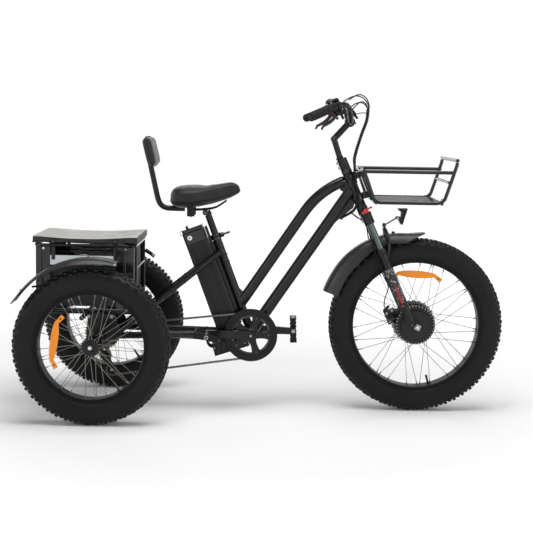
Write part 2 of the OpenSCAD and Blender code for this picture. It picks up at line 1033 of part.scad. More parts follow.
guide_at = [-632, 208];
tension_at = [-605, 152];
pulley_teeth = 11;
chain_path = [
    [rear_x, rear_r, sprocket_r(small_teeth), -1],
    [bracket[0], bracket[2], sprocket_r(ring_teeth), -1],
    [tension_at[0], tension_at[1], sprocket_r(pulley_teeth), -1],
    [guide_at[0], guide_at[1], sprocket_r(pulley_teeth), 1]];

// heading of the straight run from wheel i to the next one
function heading(i) =
    let (a = chain_path[i], b = chain_path[(i + 1) % 4], d = [b[0] - a[0], b[1] - a[1]])
    atan2(d[1], d[0]) - asin((b[3] * b[2] - a[3] * a[2]) / norm(d));

// one edge of the chain, a height h to the side of its pitch line
function chain_edge(h) = [
    for (i = [0:3])
        let (w = chain_path[i], s = w[3], from = heading((i + 3) % 4) - 90 * s, to = heading(i) - 90 * s,
            turn = s > 0 ? (to - from + 720) % 360 : -((from - to + 720) % 360), n = w[2] > 60 ? 24 : 10)
            for (k = [0:n])
                [w[0], w[1]] + (w[2] - s * h) * [cos(from + turn * k / n), sin(from + turn * k / n)]];

module chain() {
    outer = chain_edge(4);
    inner = chain_edge(-4);
    n = len(outer);
    color("gray")
        for (y = [chain_y - 3.2, chain_y + 1.4])
            plate(y, y + 1.8)
                polygon(concat(outer, inner), [[for (i = [0:n - 1]) i], [for (i = [0:n - 1]) n + i]]);
}

module cassette() {
    sizes = [small_teeth, 16, 18, 20, 22, 24, 34];
    color("darkgoldenrod")
        translate([rear_x, 0, rear_r]) {
            for (i = [0:6])
                sprocket(sizes[i], chain_y + 5 * i, 1.8, 15);
            across(0, 0, -66, -24, 15.5);
            across(0, 0, -101, -1, shaft_r);
        }
}

module pulley(at) {
    color("dimgray")
        translate([at[0], 0, at[1]]) {
            sprocket(pulley_teeth, chain_y, 1.8, 3 + run);
            ring(0, 0, chain_y - 4.6, chain_y + 4.6, 14.5, 3 + run);
        }
}

module guide_pulley() {
    pulley(guide_at);
}

module tension_pulley() {
    pulley(tension_at);
}

module derailleur() {
    color("dimgray") {
        for (y = [chain_y - 8, chain_y + 5.5])
            plate(y, y + 2.5)
                polygon(arm_outline(guide_at, tension_at, 13, 12));
        for (at = [guide_at, tension_at])
            across(at[0], at[1], chain_y - 9, chain_y + 9, 3);
        plate(-88, chain_y - 8)
            polygon(arm_outline(guide_at + [0, 1], [-650, 232], 11, 10));
        plate(-112, -86)
            polygon(arm_outline([-650, 232], [-662, 256], 9, 9));
    }
}

module frame_cables() {
    color("black") {
        sweep(smooth([[338, -28, 985], [341, -29, 940], [350, -30, 880], [356, -30, 840], [342, -22, 800],
            [318, -10, 780], [288, -4, 763]], 3), 5, 8);
        for (s = [-1, 1])
            sweep(smooth([[-130, s * 10, 271], [-200, s * 18, 269], [-300, s * 24, 276], [-420, s * 30, 280],
                [-560, s * 40, 286]], 2), 2.5, 6);
    }
}

// ---- seat and battery ----

module seatpost() {
    head = [-238, 0, 782];
    color("silver") {
        seated()
            translate([0, 0, 260])
                cylinder(h = post_top - 260, r = post_r);
        across(-245, 778, -22, 22, 11);
        strut([-229, 0, 768], head, 12);
    }
    color("black")
        for (s = [-1, 1])
            sweep(smooth([[-162, s * 12, 826], [-200, s * 20, 800], [-240, s * 22, 791], [-290, s * 24, 788],
                [-322, s * 28, 800]], 2), 3.5, 8);
    color("dimgray")
        for (s = [-1, 1])
            translate([-300, s * 48, 764])
                cylinder(h = 40, r = 15, $fn = 48);
    color("black")
        translate([-312, -60, 780])
            cube([24, 120, 6]);
}

// a closed form lofted through sections of [x, half width, top, bottom]
module loft(s, sides = 16) {
    function bow(v) = sign(v) * pow(abs(v), 0.75);
    points = [for (q = s) for (k = [0:sides - 1])
        [q[0], q[1] * bow(cos(360 * k / sides)),
            (q[2] + q[3]) / 2 + (q[2] - q[3]) / 2 * bow(sin(360 * k / sides))]];
    n = len(s);
    walls = [for (i = [0:n - 2]) for (k = [0:sides - 1])
        [i * sides + k, i * sides + (k + 1) % sides, (i + 1) * sides + (k + 1) % sides,
            (i + 1) * sides + k]];
    polyhedron(points, concat([[for (k = [sides - 1:-1:0]) k]], walls,
        [[for (k = [0:sides - 1]) (n - 1) * sides + k]]));
}

module saddle() {
    color("dimgray")
        loft([[-382, 62, 858, 822], [-372, 98, 870, 812], [-344, 120, 877, 808], [-300, 124, 884, 806],
            [-260, 112, 886, 806], [-226, 84, 888, 808], [-190, 54, 893, 822], [-150, 36, 899, 836],
            [-124, 28, 894, 850], [-109, 14, 878, 860]]);
}

module backrest_tube() {
    color("black")
        sweep(smooth([[-468, 0, 990], [-462, 0, 956], [-446, 0, 884], [-433, 0, 828], [-420, 0, 804],
            [-398, 0, 793], [-360, 0, 791], [-326, 0, 791]], 3), 11, 12);
}

module backrest_pad() {
    half_w = 105;
    half_h = 44;
    corner = 16;
    color("dimgray")
        translate([-460, 0, 1015])
            rotate([0, -14, 0])
                difference() {
                    hull()
                        for (y = [-half_w, half_w])
                            for (z = [-half_h, half_h])
                                translate([-23, y, z])
                                    rotate([0, 90, 0])
                                        cylinder(h = 46, r = corner, $fn = 32);
                    translate([-13, -13, -80])
                        cube([26, 26, 62]);
                }
}

module seat_lever() {
    color("silver")
        seated()
            translate([26, -15, collar_at - 1]) {
                cylinder(h = 8, r = 5, $fn = 32);
                translate([0, -3, 1])
                    cube([32, 6, 6]);
            }
}

module battery() {
    color("dimgray")
        seated() {
            difference() {
                union() {
                    translate([-121, -38, 62])
                        cube([88, 76, 398]);
                    translate([-119, -36, 460])
                        cube([84, 72, 14]);
                }
                translate([-40, -14, 40])
                    cube([20, 28, 440]);
            }
            for (s = [-1, 1])
                translate([-100, s * 24 - 3, 474])
                    cube([6, 6, 10]);
            translate([-100, -27, 482])
                cube([6, 54, 5]);
        }
}

main_frame();
rear_frame();
bearings();
seat_collar();
battery_rail();
controller_box();
basket_frame();
basket_liner();
basket_cover();
rear_mudguards();
front_rack();
chain();
derailleur();
frame_cables();
fork_crown();
stanchions();
lockout_caps();
stem();
handlebar();
grips();
lever_mounts();
display();
handlebar_cables();
brake_lever_left();
brake_lever_right();
throttle();
shift_lever();
bell_lever();
fork_lowers();
front_mudguard();
light_bracket();
headlight();
brake_caliper();
front_axle();
front_tyre();
front_rim();
front_spokes();
hub_motor();
brake_rotor();
crank_arms();
chainring();
pedal_left();
pedal_right();
cassette();
guide_pulley();
tension_pulley();
left_tyre();
left_rim();
left_hub();
left_shaft();
right_tyre();
right_rim();
right_hub();
right_shaft();
seatpost();
saddle();
backrest_tube();
backrest_pad();
seat_lever();
battery();
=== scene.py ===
"""Visual model of the adult cargo tricycle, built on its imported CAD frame."""
import json
import math

import bmesh
import bpy
from mathutils import Matrix, Vector, noise


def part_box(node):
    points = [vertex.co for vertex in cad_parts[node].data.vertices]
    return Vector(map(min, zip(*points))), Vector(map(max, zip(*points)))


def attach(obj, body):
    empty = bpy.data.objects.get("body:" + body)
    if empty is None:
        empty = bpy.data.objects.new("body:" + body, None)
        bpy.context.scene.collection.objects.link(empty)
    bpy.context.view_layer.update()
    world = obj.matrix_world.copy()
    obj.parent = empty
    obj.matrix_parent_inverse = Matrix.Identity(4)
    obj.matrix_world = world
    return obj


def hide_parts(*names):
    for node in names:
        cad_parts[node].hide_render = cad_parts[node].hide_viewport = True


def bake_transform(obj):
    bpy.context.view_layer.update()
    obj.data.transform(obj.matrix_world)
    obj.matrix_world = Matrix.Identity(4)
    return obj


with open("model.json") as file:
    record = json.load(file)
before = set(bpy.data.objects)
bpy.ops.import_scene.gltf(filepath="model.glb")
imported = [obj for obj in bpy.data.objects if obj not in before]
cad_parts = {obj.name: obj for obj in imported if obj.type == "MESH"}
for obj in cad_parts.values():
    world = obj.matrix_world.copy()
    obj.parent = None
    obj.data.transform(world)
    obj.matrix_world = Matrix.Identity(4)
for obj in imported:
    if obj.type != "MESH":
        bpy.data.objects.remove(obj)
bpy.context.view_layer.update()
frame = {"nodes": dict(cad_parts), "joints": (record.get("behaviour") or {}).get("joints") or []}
JOINTS = {j["name"]: j for j in frame["joints"]}


def mm(*v):
    return Vector(v) / 1000


def shift(x, y, z):
    return Matrix.Translation((x, y, z))


def polar(r, angle, z=0.0):
    """The point at radius r and the angle in radians about Z."""
    return Vector((r * math.cos(angle), r * math.sin(angle), z))


def pivot(joint):
    return Vector(JOINTS[joint]["pos_m"])


def direction(joint):
    return Vector(JOINTS[joint]["axis"]).normalized()


def basis(x, y, z, at):
    return Matrix(((x[0], y[0], z[0], at[0]), (x[1], y[1], z[1], at[1]), (x[2], y[2], z[2], at[2]), (0, 0, 0, 1)))


def facing(at, way, across=(0, 1, 0)):
    """A frame with Z along way, for bolts, caps and lathed parts."""
    z = Vector(way).normalized()
    x = Vector(across) - z * Vector(across).dot(z)
    if x.length < 1e-4:
        x = Vector((1, 0, 0)) - z * z[0]
    x.normalize()
    return basis(x, z.cross(x), z, Vector(at))


# drawn in X and Z: a frame whose Y is the machine's Z, and whose Z is the machine's -Y
SIDE_VIEW = Matrix.Rotation(math.pi / 2, 4, "X")

# the working frames of the machine, from the record's joints
Y_AXIS = Vector((0, 1, 0))
HEAD_UP = direction("steering_turn")
HEAD = basis(Y_AXIS.cross(HEAD_UP), Y_AXIS, HEAD_UP, pivot("steering_turn"))
SEAT_UP = direction("seatpost_slide")
SEAT = basis(Y_AXIS.cross(SEAT_UP), Y_AXIS, SEAT_UP, pivot("crank_spin"))
FRONT = pivot("front_wheel_spin")
LEFT = pivot("left_wheel_spin")
RIGHT = pivot("right_wheel_spin")
CRANK = pivot("crank_spin")
GRIP_AXIS = direction("throttle_twist")
GRIP_X = direction("brake_lever_right_squeeze")
GRIP_AT = pivot("throttle_twist") - 0.040 * GRIP_AXIS


def grip_frame(side):
    """The frame of a grip: Z out along it, Y down and forward of it."""
    flip = Vector((1, -side, 1))
    z = GRIP_AXIS * flip
    x = direction("brake_lever_left_squeeze") if side > 0 else GRIP_X
    return basis(x, z.cross(x), z, GRIP_AT * flip)


def wheel_frame(centre):
    """Z along the axle, X forward and Y up, as the wheel turns about it."""
    return basis(Vector((1, 0, 0)), Vector((0, 0, 1)), Vector((0, -1, 0)), centre)


# ---------------------------------------------------------------- camera and light

camera_data = bpy.data.cameras.new("camera")
camera_data.lens = 85.58
camera_data.sensor_width = 36
camera = bpy.data.objects.new("camera", camera_data)
bpy.context.scene.collection.objects.link(camera)
# fitted to the wheels' outlines in the photograph: turns in radians, place in metres
YAW, PITCH, ROLL = -0.0015, 0.1115, 0.0169
CAMERA_AT = (0.0078, -5.0067, 1.1262)
ahead = Vector((math.sin(YAW) * math.cos(PITCH), math.cos(YAW) * math.cos(PITCH), -math.sin(PITCH)))
right = Vector((math.cos(YAW), -math.sin(YAW), 0))
up = right.cross(ahead)
right, up = right * math.cos(ROLL) + up * math.sin(ROLL), up * math.cos(ROLL) - right * math.sin(ROLL)
camera.matrix_world = basis(right, up, -ahead, CAMERA_AT)
bpy.context.scene.camera = camera


def lamp(name, at, size, power):
    """A rectangular softbox, turned towards the middle of the machine."""
    data = bpy.data.lights.new(name, "AREA")
    data.shape = "RECTANGLE"
    data.size, data.size_y = size
    data.energy = power
    o = bpy.data.objects.new(name, data)
    bpy.context.scene.collection.objects.link(o)
    o.location = at
    o.rotation_mode = "QUATERNION"
    o.rotation_quaternion = (Vector((0, 0, 0.5)) - Vector(at)).to_track_quat("-Z", "Y")


lamp("softbox_top", (0.2, -0.6, 4.2), (3.6, 2.6), 150)
lamp("softbox_left", (-3.6, -3.0, 2.4), (1.6, 2.4), 26)
lamp("softbox_right", (3.6, -2.6, 2.2), (1.6, 2.4), 30)
lamp("softbox_back", (0.4, 3.4, 2.6), (3.4, 1.4), 20)

world = bpy.data.worlds.new("studio")
bpy.context.scene.world = world
world.use_nodes = True
sky = world.node_tree
sky.nodes["Background"].inputs[0].default_value = (1, 1, 1, 1)
sky_way = sky.nodes.new("ShaderNodeTexCoord")
sky_parts = sky.nodes.new("ShaderNodeSeparateXYZ")
sky_level = sky.nodes.new("ShaderNodeMapRange")
for socket, value in (("From Min", 0.20), ("From Max", 0.50), ("To Min", 1.02), ("To Max", 0.22)):
    sky_level.inputs[socket].default_value = value
sky.links.new(sky_way.outputs["Generated"], sky_parts.inputs[0])
sky.links.new(sky_parts.outputs[2], sky_level.inputs["Value"])
sky.links.new(sky_level.outputs[0], sky.nodes["Background"].inputs[1])
bpy.context.scene.view_settings.view_transform = "Standard"


# ---------------------------------------------------------------- materials

class Nodes:
    """Short hand for building one material's node tree."""

    def __init__(self, name):
        self.material = bpy.data.materials.new(name)
        self.material.use_nodes = True
        self.tree = self.material.node_tree
        self.bsdf = self.tree.nodes["Principled BSDF"]
        self.place = self.add("ShaderNodeTexCoord").outputs["Object"]

    def add(self, kind, values=None, **settings):
        node = self.tree.nodes.new(kind)
        for key, value in settings.items():
            setattr(node, key, value)
        for key, value in (values or {}).items():
            self.feed(node.inputs[key], value)
        return node

    def feed(self, socket, value):
        """Links another node's output to the socket, or sets its value."""
        if isinstance(value, bpy.types.NodeSocket):
            self.tree.links.new(value, socket)
        else:
            socket.default_value = value

    def math(self, operation, a, b=0.0):
        return self.add("ShaderNodeMath", {0: a, 1: b}, operation=operation).outputs[0]

    def noise(self, scale, detail=4, rough=0.55, where=None):
        return self.add("ShaderNodeTexNoise", {"Vector": where or self.place, "Scale": scale, "Detail": detail,
                                               "Roughness": rough}).outputs["Fac"]

    def between(self, value, low, high, source=(0.3, 0.7)):
        return self.add("ShaderNodeMapRange", {"Value": value, "From Min": source[0], "From Max": source[1],
                                               "To Min": low, "To Max": high}).outputs[0]

    def mix(self, fac, a, b):
        node = self.add("ShaderNodeMix", data_type="RGBA")
        for socket, value in ((node.inputs[0], fac), (node.inputs[6], a), (node.inputs[7], b)):
            self.feed(socket, (*value, 1) if isinstance(value, tuple) else value)
        return node.outputs[2]

    def bump(self, height, strength, distance, normal=None):
        values = {"Height": height, "Strength": strength, "Distance": distance}
        if normal is not None:
            values["Normal"] = normal
        return self.add("ShaderNodeBump", values).outputs[0]

    def finish(self, colour, rough, normal=None, metallic=0.0, level=None, coat=None, coat_rough=None,
               **more):
        """level is the specular level."""
        for key, value in {"Base Color": colour, "Roughness": rough, "Normal": normal, "Metallic": metallic,
                           "Specular IOR Level": level, "Coat Weight": coat, "Coat Roughness": coat_rough,
                           **more}.items():
            if value is not None:
                self.feed(self.bsdf.inputs[key], (*value, 1) if isinstance(value, tuple) else value)
        return self.material


def shade(colour, factor):
    return tuple(min(1.0, c * factor) for c in colour)


def surface(name, colour, rough, metallic=0.0, grain=900, grain_depth=0.0, mottle=0.18, edge=0.0, wave=0.0, **more):
    """A paint, plastic, metal or rubber: mottled colour, uneven gloss, fine grain and softened edges."""
    n = Nodes(name)
    cloud = n.noise(9, 5)
    fine = n.noise(grain, 3, 0.6)
    base = n.mix(n.between(cloud, 0.0, 1.0), shade(colour, 1 - mottle), shade(colour, 1 + mottle))
    base = n.mix(n.between(fine, 0.0, 0.5), base, shade(colour, 1.25))
    smudge = n.noise(36, 6, 0.65)
    gloss = n.between(smudge, rough - 0.08, rough + 0.08)
    normal = n.add("ShaderNodeBevel", {"Radius": edge}, samples=4).outputs[0] if edge else None
    if wave:
        normal = n.bump(n.noise(22, 2), wave, 0.002, normal)
    if grain_depth:
        normal = n.bump(fine, grain_depth, 0.0002, normal)
    return n.finish(base, gloss, normal, metallic, **more)


def brushed(name, colour, rough, stretch=(1, 40, 40), scale=60, depth=0.06):
    n = Nodes(name)
    where = n.add("ShaderNodeMapping", {"Vector": n.place, "Scale": stretch}).outputs[0]
    lines = n.noise(scale, 6, 0.7, where)
    cloud = n.noise(14, 4)
    base = n.mix(n.between(cloud, 0.0, 1.0), shade(colour, 0.82), shade(colour, 1.12))
    gloss = n.between(lines, rough - 0.08, rough + 0.1)
    return n.finish(base, gloss, n.bump(lines, depth, 0.0002), 1.0)


def leather(name, colour):
    """Vinyl with a pebbled grain of two sizes, with painted shade in the creases of the grain."""
    n = Nodes(name)
    cells = n.add("ShaderNodeTexVoronoi", {"Vector": n.place, "Scale": 620.0}, feature="DISTANCE_TO_EDGE")
    crease = n.between(cells.outputs["Distance"], 0.0, 1.0, (0.0, 0.12))
    soft = n.noise(36, 4)
    base = n.mix(n.between(soft, 0.0, 1.0), shade(colour, 0.8), shade(colour, 1.2))
    # painted shade: the grain's creases are darkened in colour, as well as sunk by the bump below
    base = n.mix(crease, shade(colour, 0.55), base)
    gloss = n.between(n.noise(60, 5), 0.34, 0.5)
    normal = n.bump(soft, 0.12, 0.003)
    normal = n.bump(crease, 0.3, 0.0004, normal)
    return n.finish(base, gloss, normal, level=0.30, **{"Sheen Weight": 0.05, "Sheen Roughness": 0.5})


def woven(name, colour, rough, pitch=0.9, depth=0.35, sheen=0.1, spread=0.15, folds=0.0):
    """Coated cloth with a plain weave of the given pitch in millimetres, the same in every direction."""
    n = Nodes(name)
    parts = n.add("ShaderNodeSeparateXYZ", {0: n.place}).outputs
    step = 2 * math.pi / (pitch / 1000)
    waves = [n.math("SINE", n.math("MULTIPLY", p, step)) for p in parts]
    weave = n.math("MULTIPLY", n.math("ADD", waves[0], waves[1]), n.math("ADD", waves[2], 1.6))
    thread = n.between(weave, 0.0, 1.0, (-3.0, 3.0))
    cloud = n.noise(7, 5)
    base = n.mix(n.between(cloud, 0.0, 1.0), shade(colour, 1 - spread), shade(colour, 1 + spread))
    base = n.mix(n.math("MULTIPLY", thread, 0.3), base, shade(colour, 0.6))
    gloss = n.between(n.noise(24, 5), rough - 0.09, rough + 0.09)
    normal = n.bump(n.noise(9, 3, 0.5), folds, 0.02) if folds else None
    normal = n.bump(thread, depth, 0.0003, normal)
    return n.finish(base, gloss, normal, **{"Sheen Weight": sheen})


def tyre_rubber(name, bead, radius):
    """Moulded rubber: fine concentric ribs near the rim, and a pale bloom on the crown that is partly dust and partly
    painted highlight.
    """
    n = Nodes(name)
    flat = n.add("ShaderNodeVectorMath", {0: n.place, 1: (1, 1, 0)}, operation="MULTIPLY").outputs[0]
    reach = n.add("ShaderNodeVectorMath", {0: flat}, operation="LENGTH").outputs["Value"]
    rib = n.math("SINE", n.math("MULTIPLY", reach, 2 * math.pi / 0.0042))
    band = n.between(reach, 1.0, 0.0, (bead + 0.016, bead + 0.021))
    cloud = n.noise(11, 5)
    dust_and_highlight = n.noise(48, 6, 0.7)
    base = n.mix(n.between(cloud, 0.0, 1.0), (0.0030, 0.0032, 0.0038), (0.0056, 0.0058, 0.0068))
    crown = n.between(reach, 0.0, 1.0, (radius - 0.028, radius - 0.004))
    # the crown is painted paler in patches: partly dust, partly a painted highlight on the tread knobs
    base = n.mix(n.math("MULTIPLY", crown, n.between(dust_and_highlight, 0.1, 0.7)), base, (0.0300, 0.0300, 0.0306))
    gloss = n.between(dust_and_highlight, 0.38, 0.54)
    normal = n.bump(n.math("MULTIPLY", rib, band), 0.5, 0.0006)
    normal = n.bump(n.noise(700, 3), 0.12, 0.0003, normal)
    return n.finish(base, gloss, normal, level=0.20)


def speckled(name, ground, spots):
    """The worn, broken pattern on the fork legs, made from cells and noise only."""
    n = Nodes(name)
    where = n.add("ShaderNodeMapping", {"Vector": n.place, "Scale": (1, 1, 0.55)}).outputs[0]
    cells = n.add("ShaderNodeTexVoronoi", {"Vector": where, "Scale": 190}).outputs["Distance"]
    broken = n.math("MULTIPLY", n.between(cells, 1.0, 0.0, (0.2, 0.42)), n.between(n.noise(90, 5), 0, 1, (0.36, 0.47)))
    base = n.mix(broken, ground, spots)
    return n.finish(base, n.between(n.noise(40), 0.32, 0.48), n.bump(broken, 0.05, 0.0002))


def prismatic(name, colour):
    """Reflector plastic: clear coat over a grid of small prisms, with painted shade on the prism facets and a faint
    emission, which on the reflectors is a painted glow.
    """
    n = Nodes(name)
    cells = n.add("ShaderNodeTexVoronoi", {"Vector": n.place, "Scale": 420.0}, distance="CHEBYCHEV")
    tilt = cells.outputs["Distance"]
    # painted shade: each prism facet is darker by its tilt
    base = n.mix(n.between(tilt, 0.0, 1.0, (0.0, 0.6)), colour, shade(colour, 0.62))
    # the emission makes the parts glow faintly; on the reflectors this is a painted glow
    return n.finish(base, 0.22, n.bump(tilt, 0.6, 0.0009), level=0.3, coat=0.2, coat_rough=0.08,
                    **{"Emission Color": colour, "Emission Strength": 0.30})


PAINT = surface("frame_black", (0.0045, 0.0045, 0.0050), 0.27, grain_depth=0.05, edge=0.0012, wave=0.03, level=0.30,
                coat=0.12, coat_rough=0.16)
METAL = surface("black_metal", (0.0042, 0.0042, 0.0046), 0.28, grain_depth=0.05, edge=0.0010, level=0.28, coat=0.10,
                coat_rough=0.18)
RIM = surface("rim_black", (0.0034, 0.0034, 0.0038), 0.40, grain_depth=0.05, level=0.13)
GLOSS = surface("rack_black", (0.0038, 0.0038, 0.0042), 0.2, grain_depth=0.02, edge=0.0010, wave=0.02, level=0.36,
                coat=0.32, coat_rough=0.1)
PLASTIC = surface("black_plastic", (0.0060, 0.0060, 0.0066), 0.44, grain=1500, grain_depth=0.22, edge=0.0010,
                  level=0.24)
GUARD = surface("guard_plastic", (0.016, 0.016, 0.0155), 0.34, grain=1300, grain_depth=0.14, wave=0.05, level=0.42)
GRIP = surface("grip_rubber", (0.0120, 0.0120, 0.0126), 0.62, grain=1600, grain_depth=0.3, level=0.22)
BUFFER = surface("buffer_rubber", (0.0110, 0.0110, 0.0115), 0.56, grain=1600, grain_depth=0.25, level=0.22)
CABLE = surface("cable_black", (0.0070, 0.0070, 0.0075), 0.38, grain=1800, grain_depth=0.1, level=0.26)
STEEL = brushed("bare_steel", (0.40, 0.40, 0.41), 0.30)
SPOKE = surface("spoke_steel", (0.27, 0.255, 0.23), 0.34, 0.9, grain_depth=0.04)
DARK_SPOKE = surface("dark_spoke", (0.10, 0.10, 0.098), 0.36, 0.5, grain_depth=0.04)
DARK_STEEL = brushed("dark_steel", (0.085, 0.085, 0.085), 0.40)
ALLOY = brushed("polished_alloy", (0.60, 0.60, 0.61), 0.24, depth=0.03)
STANCHION = surface("stanchion_tube", (0.085, 0.108, 0.098), 0.10, 1.0, grain_depth=0.02)
RED = surface("red_plastic", (0.5, 0.012, 0.022), 0.25, grain_depth=0.04, coat=0.4)
CHAIN = brushed("chain_steel", (0.125, 0.115, 0.105), 0.40, stretch=(1, 1, 1), scale=420)
GOLD = brushed("sprocket_gold", (0.24, 0.175, 0.10), 0.36, stretch=(1, 1, 1), scale=300)
SHELL = surface("battery_shell", (0.0062, 0.0064, 0.0068), 0.36, grain=1500, grain_depth=0.12, edge=0.003, level=0.28)
GLASSY = surface("gloss_black", (0.0045, 0.0045, 0.0050), 0.08, grain_depth=0.01, edge=0.0015, level=0.40, coat=0.35)
VINYL = leather("vinyl", (0.0085, 0.0085, 0.0090))
LINER = woven("liner_pvc", (0.0080, 0.0080, 0.0085), 0.5, 1.1, 0.3, sheen=0.03, folds=0.12)
# pale grey: a painted reflection of the bright room on black glossy cloth, not the cloth's own colour
COVER = woven("cover_cloth", (0.33, 0.32, 0.30), 0.42, 0.8, 0.2, sheen=0.08, spread=0.14, folds=0.3)
HEM = woven("hem_tape", (0.0085, 0.0085, 0.0090), 0.55, 1.4, 0.5, sheen=0.03)
REFLECTIVE = surface("reflective_strip", (0.56, 0.60, 0.61), 0.3, grain_depth=0.03, wave=0.3, mottle=0.06, coat=0.5)
# the orange wheel reflectors and the amber pedal reflectors glow faintly: painted glow, as they are no lamps
ORANGE = prismatic("orange_lens", (0.78, 0.25, 0.012))
AMBER = prismatic("pedal_amber", (0.055, 0.018, 0.004))
LENS = prismatic("lamp_lens", (0.42, 0.43, 0.44))
STRIPE = surface("red_stripe", (0.27, 0.008, 0.020), 0.4, grain_depth=0.03)
DECAL = speckled("leg_pattern", (0.007, 0.007, 0.0075), (0.62, 0.62, 0.62))
SCREEN = surface("screen", (0.03, 0.034, 0.038), 0.12, grain_depth=0.0, coat=0.8)


# ---------------------------------------------------------------- mesh building

class Shape:
    """Collects solids with their materials, and builds them as one piece."""

    def __init__(self, material):
        self.material = material
        self.verts, self.faces, self.marks, self.materials = [], [], [], [material]

    def add(self, verts, faces, place=None, material=None):
        material = material or self.material
        if material not in self.materials:
            self.materials.append(material)
        start, mark = len(self.verts), self.materials.index(material)
        self.verts += [place @ Vector(v) if place else Vector(v) for v in verts]
        self.faces += [[start + i for i in f] for f in faces]
        self.marks += [mark] * len(faces)

    def tube(self, points, radius, sides=10, material=None, closed=False, place=None):
        """A round bar along points. radius is one number, or one for each point."""
        points = [Vector(p) for p in points]
        count = len(points)
        radii = radius if isinstance(radius, (list, tuple)) else [radius] * count
        if closed:
            ways = [(points[(i + 1) % count] - points[i - 1]).normalized() for i in range(count)]
        else:
            ways = [(points[min(i + 1, count - 1)] - points[max(i - 1, 0)]).normalized() for i in range(count)]
        side = Vector((0, 1, 0)) if abs(ways[0][1]) < 0.9 else Vector((1, 0, 0))
        verts = []
        for p, way, r in zip(points, ways, radii):
            side = (side - way * side.dot(way)).normalized()
            other = way.cross(side)
            verts += [p + r * (side * math.cos(a) + other * math.sin(a))
                      for a in (2 * math.pi * k / sides for k in range(sides))]
        rings = count if closed else count - 1
        faces = [[i * sides + k, (i + 1) % count * sides + k, (i + 1) % count * sides + (k + 1) % sides,
                  i * sides + (k + 1) % sides][::-1] for i in range(rings) for k in range(sides)]
        if not closed:
            faces += [list(range(sides)), list(range((count - 1) * sides, count * sides))[::-1]]
        self.add(verts, faces, place, material)

    def lathe(self, profile, place, steps=32, material=None):
        """profile is a list of (radius, height) that starts and ends on the axis or meets itself."""
        verts, rings = [], []
        for r, h in profile:
            if r < 1e-7:
                rings.append([len(verts)] * steps)
                verts.append((0, 0, h))
            else:
                rings.append(list(range(len(verts), len(verts) + steps)))
                verts += [polar(r, 2 * math.pi * k / steps, h) for k in range(steps)]
        faces = []
        for a, b in zip(rings, rings[1:]):
            for k in range(steps):
                m = (k + 1) % steps
                loop = [a[k], a[m], b[m], b[k]]
                face = [v for i, v in enumerate(loop) if v != loop[i - 1]]
                if len(face) > 2:
                    faces.append(face)
        self.add(verts, faces, place, material)

    def prism(self, outline, low, high, place, material=None, inset=0.0):
        """An outline in the place's XY plane, from low to high, with chamfered rims of the given inset."""
        count = len(outline)
        middle = Vector((sum(p[0] for p in outline) / count, sum(p[1] for p in outline) / count))
        rings = []
        levels = [(low, inset), (low + inset, 0), (high - inset, 0), (high, inset)] if inset else [(low, 0), (high, 0)]
        verts = []
        for z, shrink in levels:
            rings.append(len(verts))
            for p in outline:
                q = Vector(p[:2])
                d = q - middle
                q = q - d.normalized() * shrink if shrink and d.length > 1e-6 else q
                verts.append((q[0], q[1], z))
        faces = [list(range(count))[::-1], [rings[-1] + i for i in range(count)]]
        for a, b in zip(rings, rings[1:]):
            faces += [[a + i, a + (i + 1) % count, b + (i + 1) % count, b + i] for i in range(count)]
        self.add(verts, faces, place, material)

    def block(self, corner, opposite, place=None, material=None, inset=0.0008):
        (x0, x1), (y0, y1), (z0, z1) = (sorted(pair) for pair in zip(corner, opposite))
        self.prism([(x0, y0), (x1, y0), (x1, y1), (x0, y1)], z0, z1, place or Matrix(), material, inset)

    def ring(self, inner, outer, low, high, place, steps=32, material=None):
        """A plain collar: a lathed rectangle."""
        self.lathe([(inner, low), (outer, low), (outer, high), (inner, high), (inner, low)], place, steps, material)

    def flat_ring(self, outside, inside, low, high, place, material=None):
        """A plate from low to high between two outlines with as many points each."""
        n = len(outside)
        verts = [(p[0], p[1], z) for z in (low, high) for line in (outside, inside) for p in line]
        rows = [list(range(i * n, (i + 1) * n)) for i in range(4)]
        faces = [f for a, b in ((0, 1), (1, 3), (3, 2), (2, 0)) for f in joined(rows[a], rows[b])]
        self.add(verts, faces, place, material)

    def bolt(self, at, way, r, h, material=None, washer=True):
        """A cap screw with a socket, on a washer."""
        place = facing(at, way)
        if washer:
            self.lathe([(0, -0.0004), (r * 1.55, -0.0004), (r * 1.55, 0.0006), (0, 0.0006)], place, 18,
                       material or STEEL)
        self.lathe([(0, 0.0004), (r, 0.0004), (r, h * 0.8), (r * 0.85, h), (r * 0.5, h), (r * 0.45, h * 0.4),
                    (0, h * 0.35)], place, 16, material or METAL)

    def build(self, name, body, smooth, slot, replaces=None, place=None, subdivide=0, cloth=0):
        """Makes the object. With place, its own frame is there, so that patterns follow it. cloth is a thickness."""
        mesh = bpy.data.meshes.new(name)
        back = place.inverted() if place else None
        mesh.from_pydata([back @ v if back else v for v in self.verts], [], self.faces)
        for m in self.materials:
            mesh.materials.append(m)
        mesh.polygons.foreach_set("material_index", self.marks)
        b = bmesh.new()
        b.from_mesh(mesh)
        bmesh.ops.recalc_face_normals(b, faces=b.faces)
        b.to_mesh(mesh)
        b.free()
        mesh.shade_smooth()
        mesh.set_sharp_from_angle(angle=math.radians(smooth))
        o = bpy.data.objects.new(name, mesh)
        bpy.context.scene.collection.objects.link(o)
        if place:
            o.matrix_world = place
        if subdivide:
            m = o.modifiers.new("smooth", "SUBSURF")
            m.levels = m.render_levels = subdivide
        if cloth:
            m = o.modifiers.new("cloth", "SOLIDIFY")
            m.thickness, m.offset = cloth, 0
        if body:
            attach(o, body)
        if replaces:
            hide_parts(replaces)
        return o


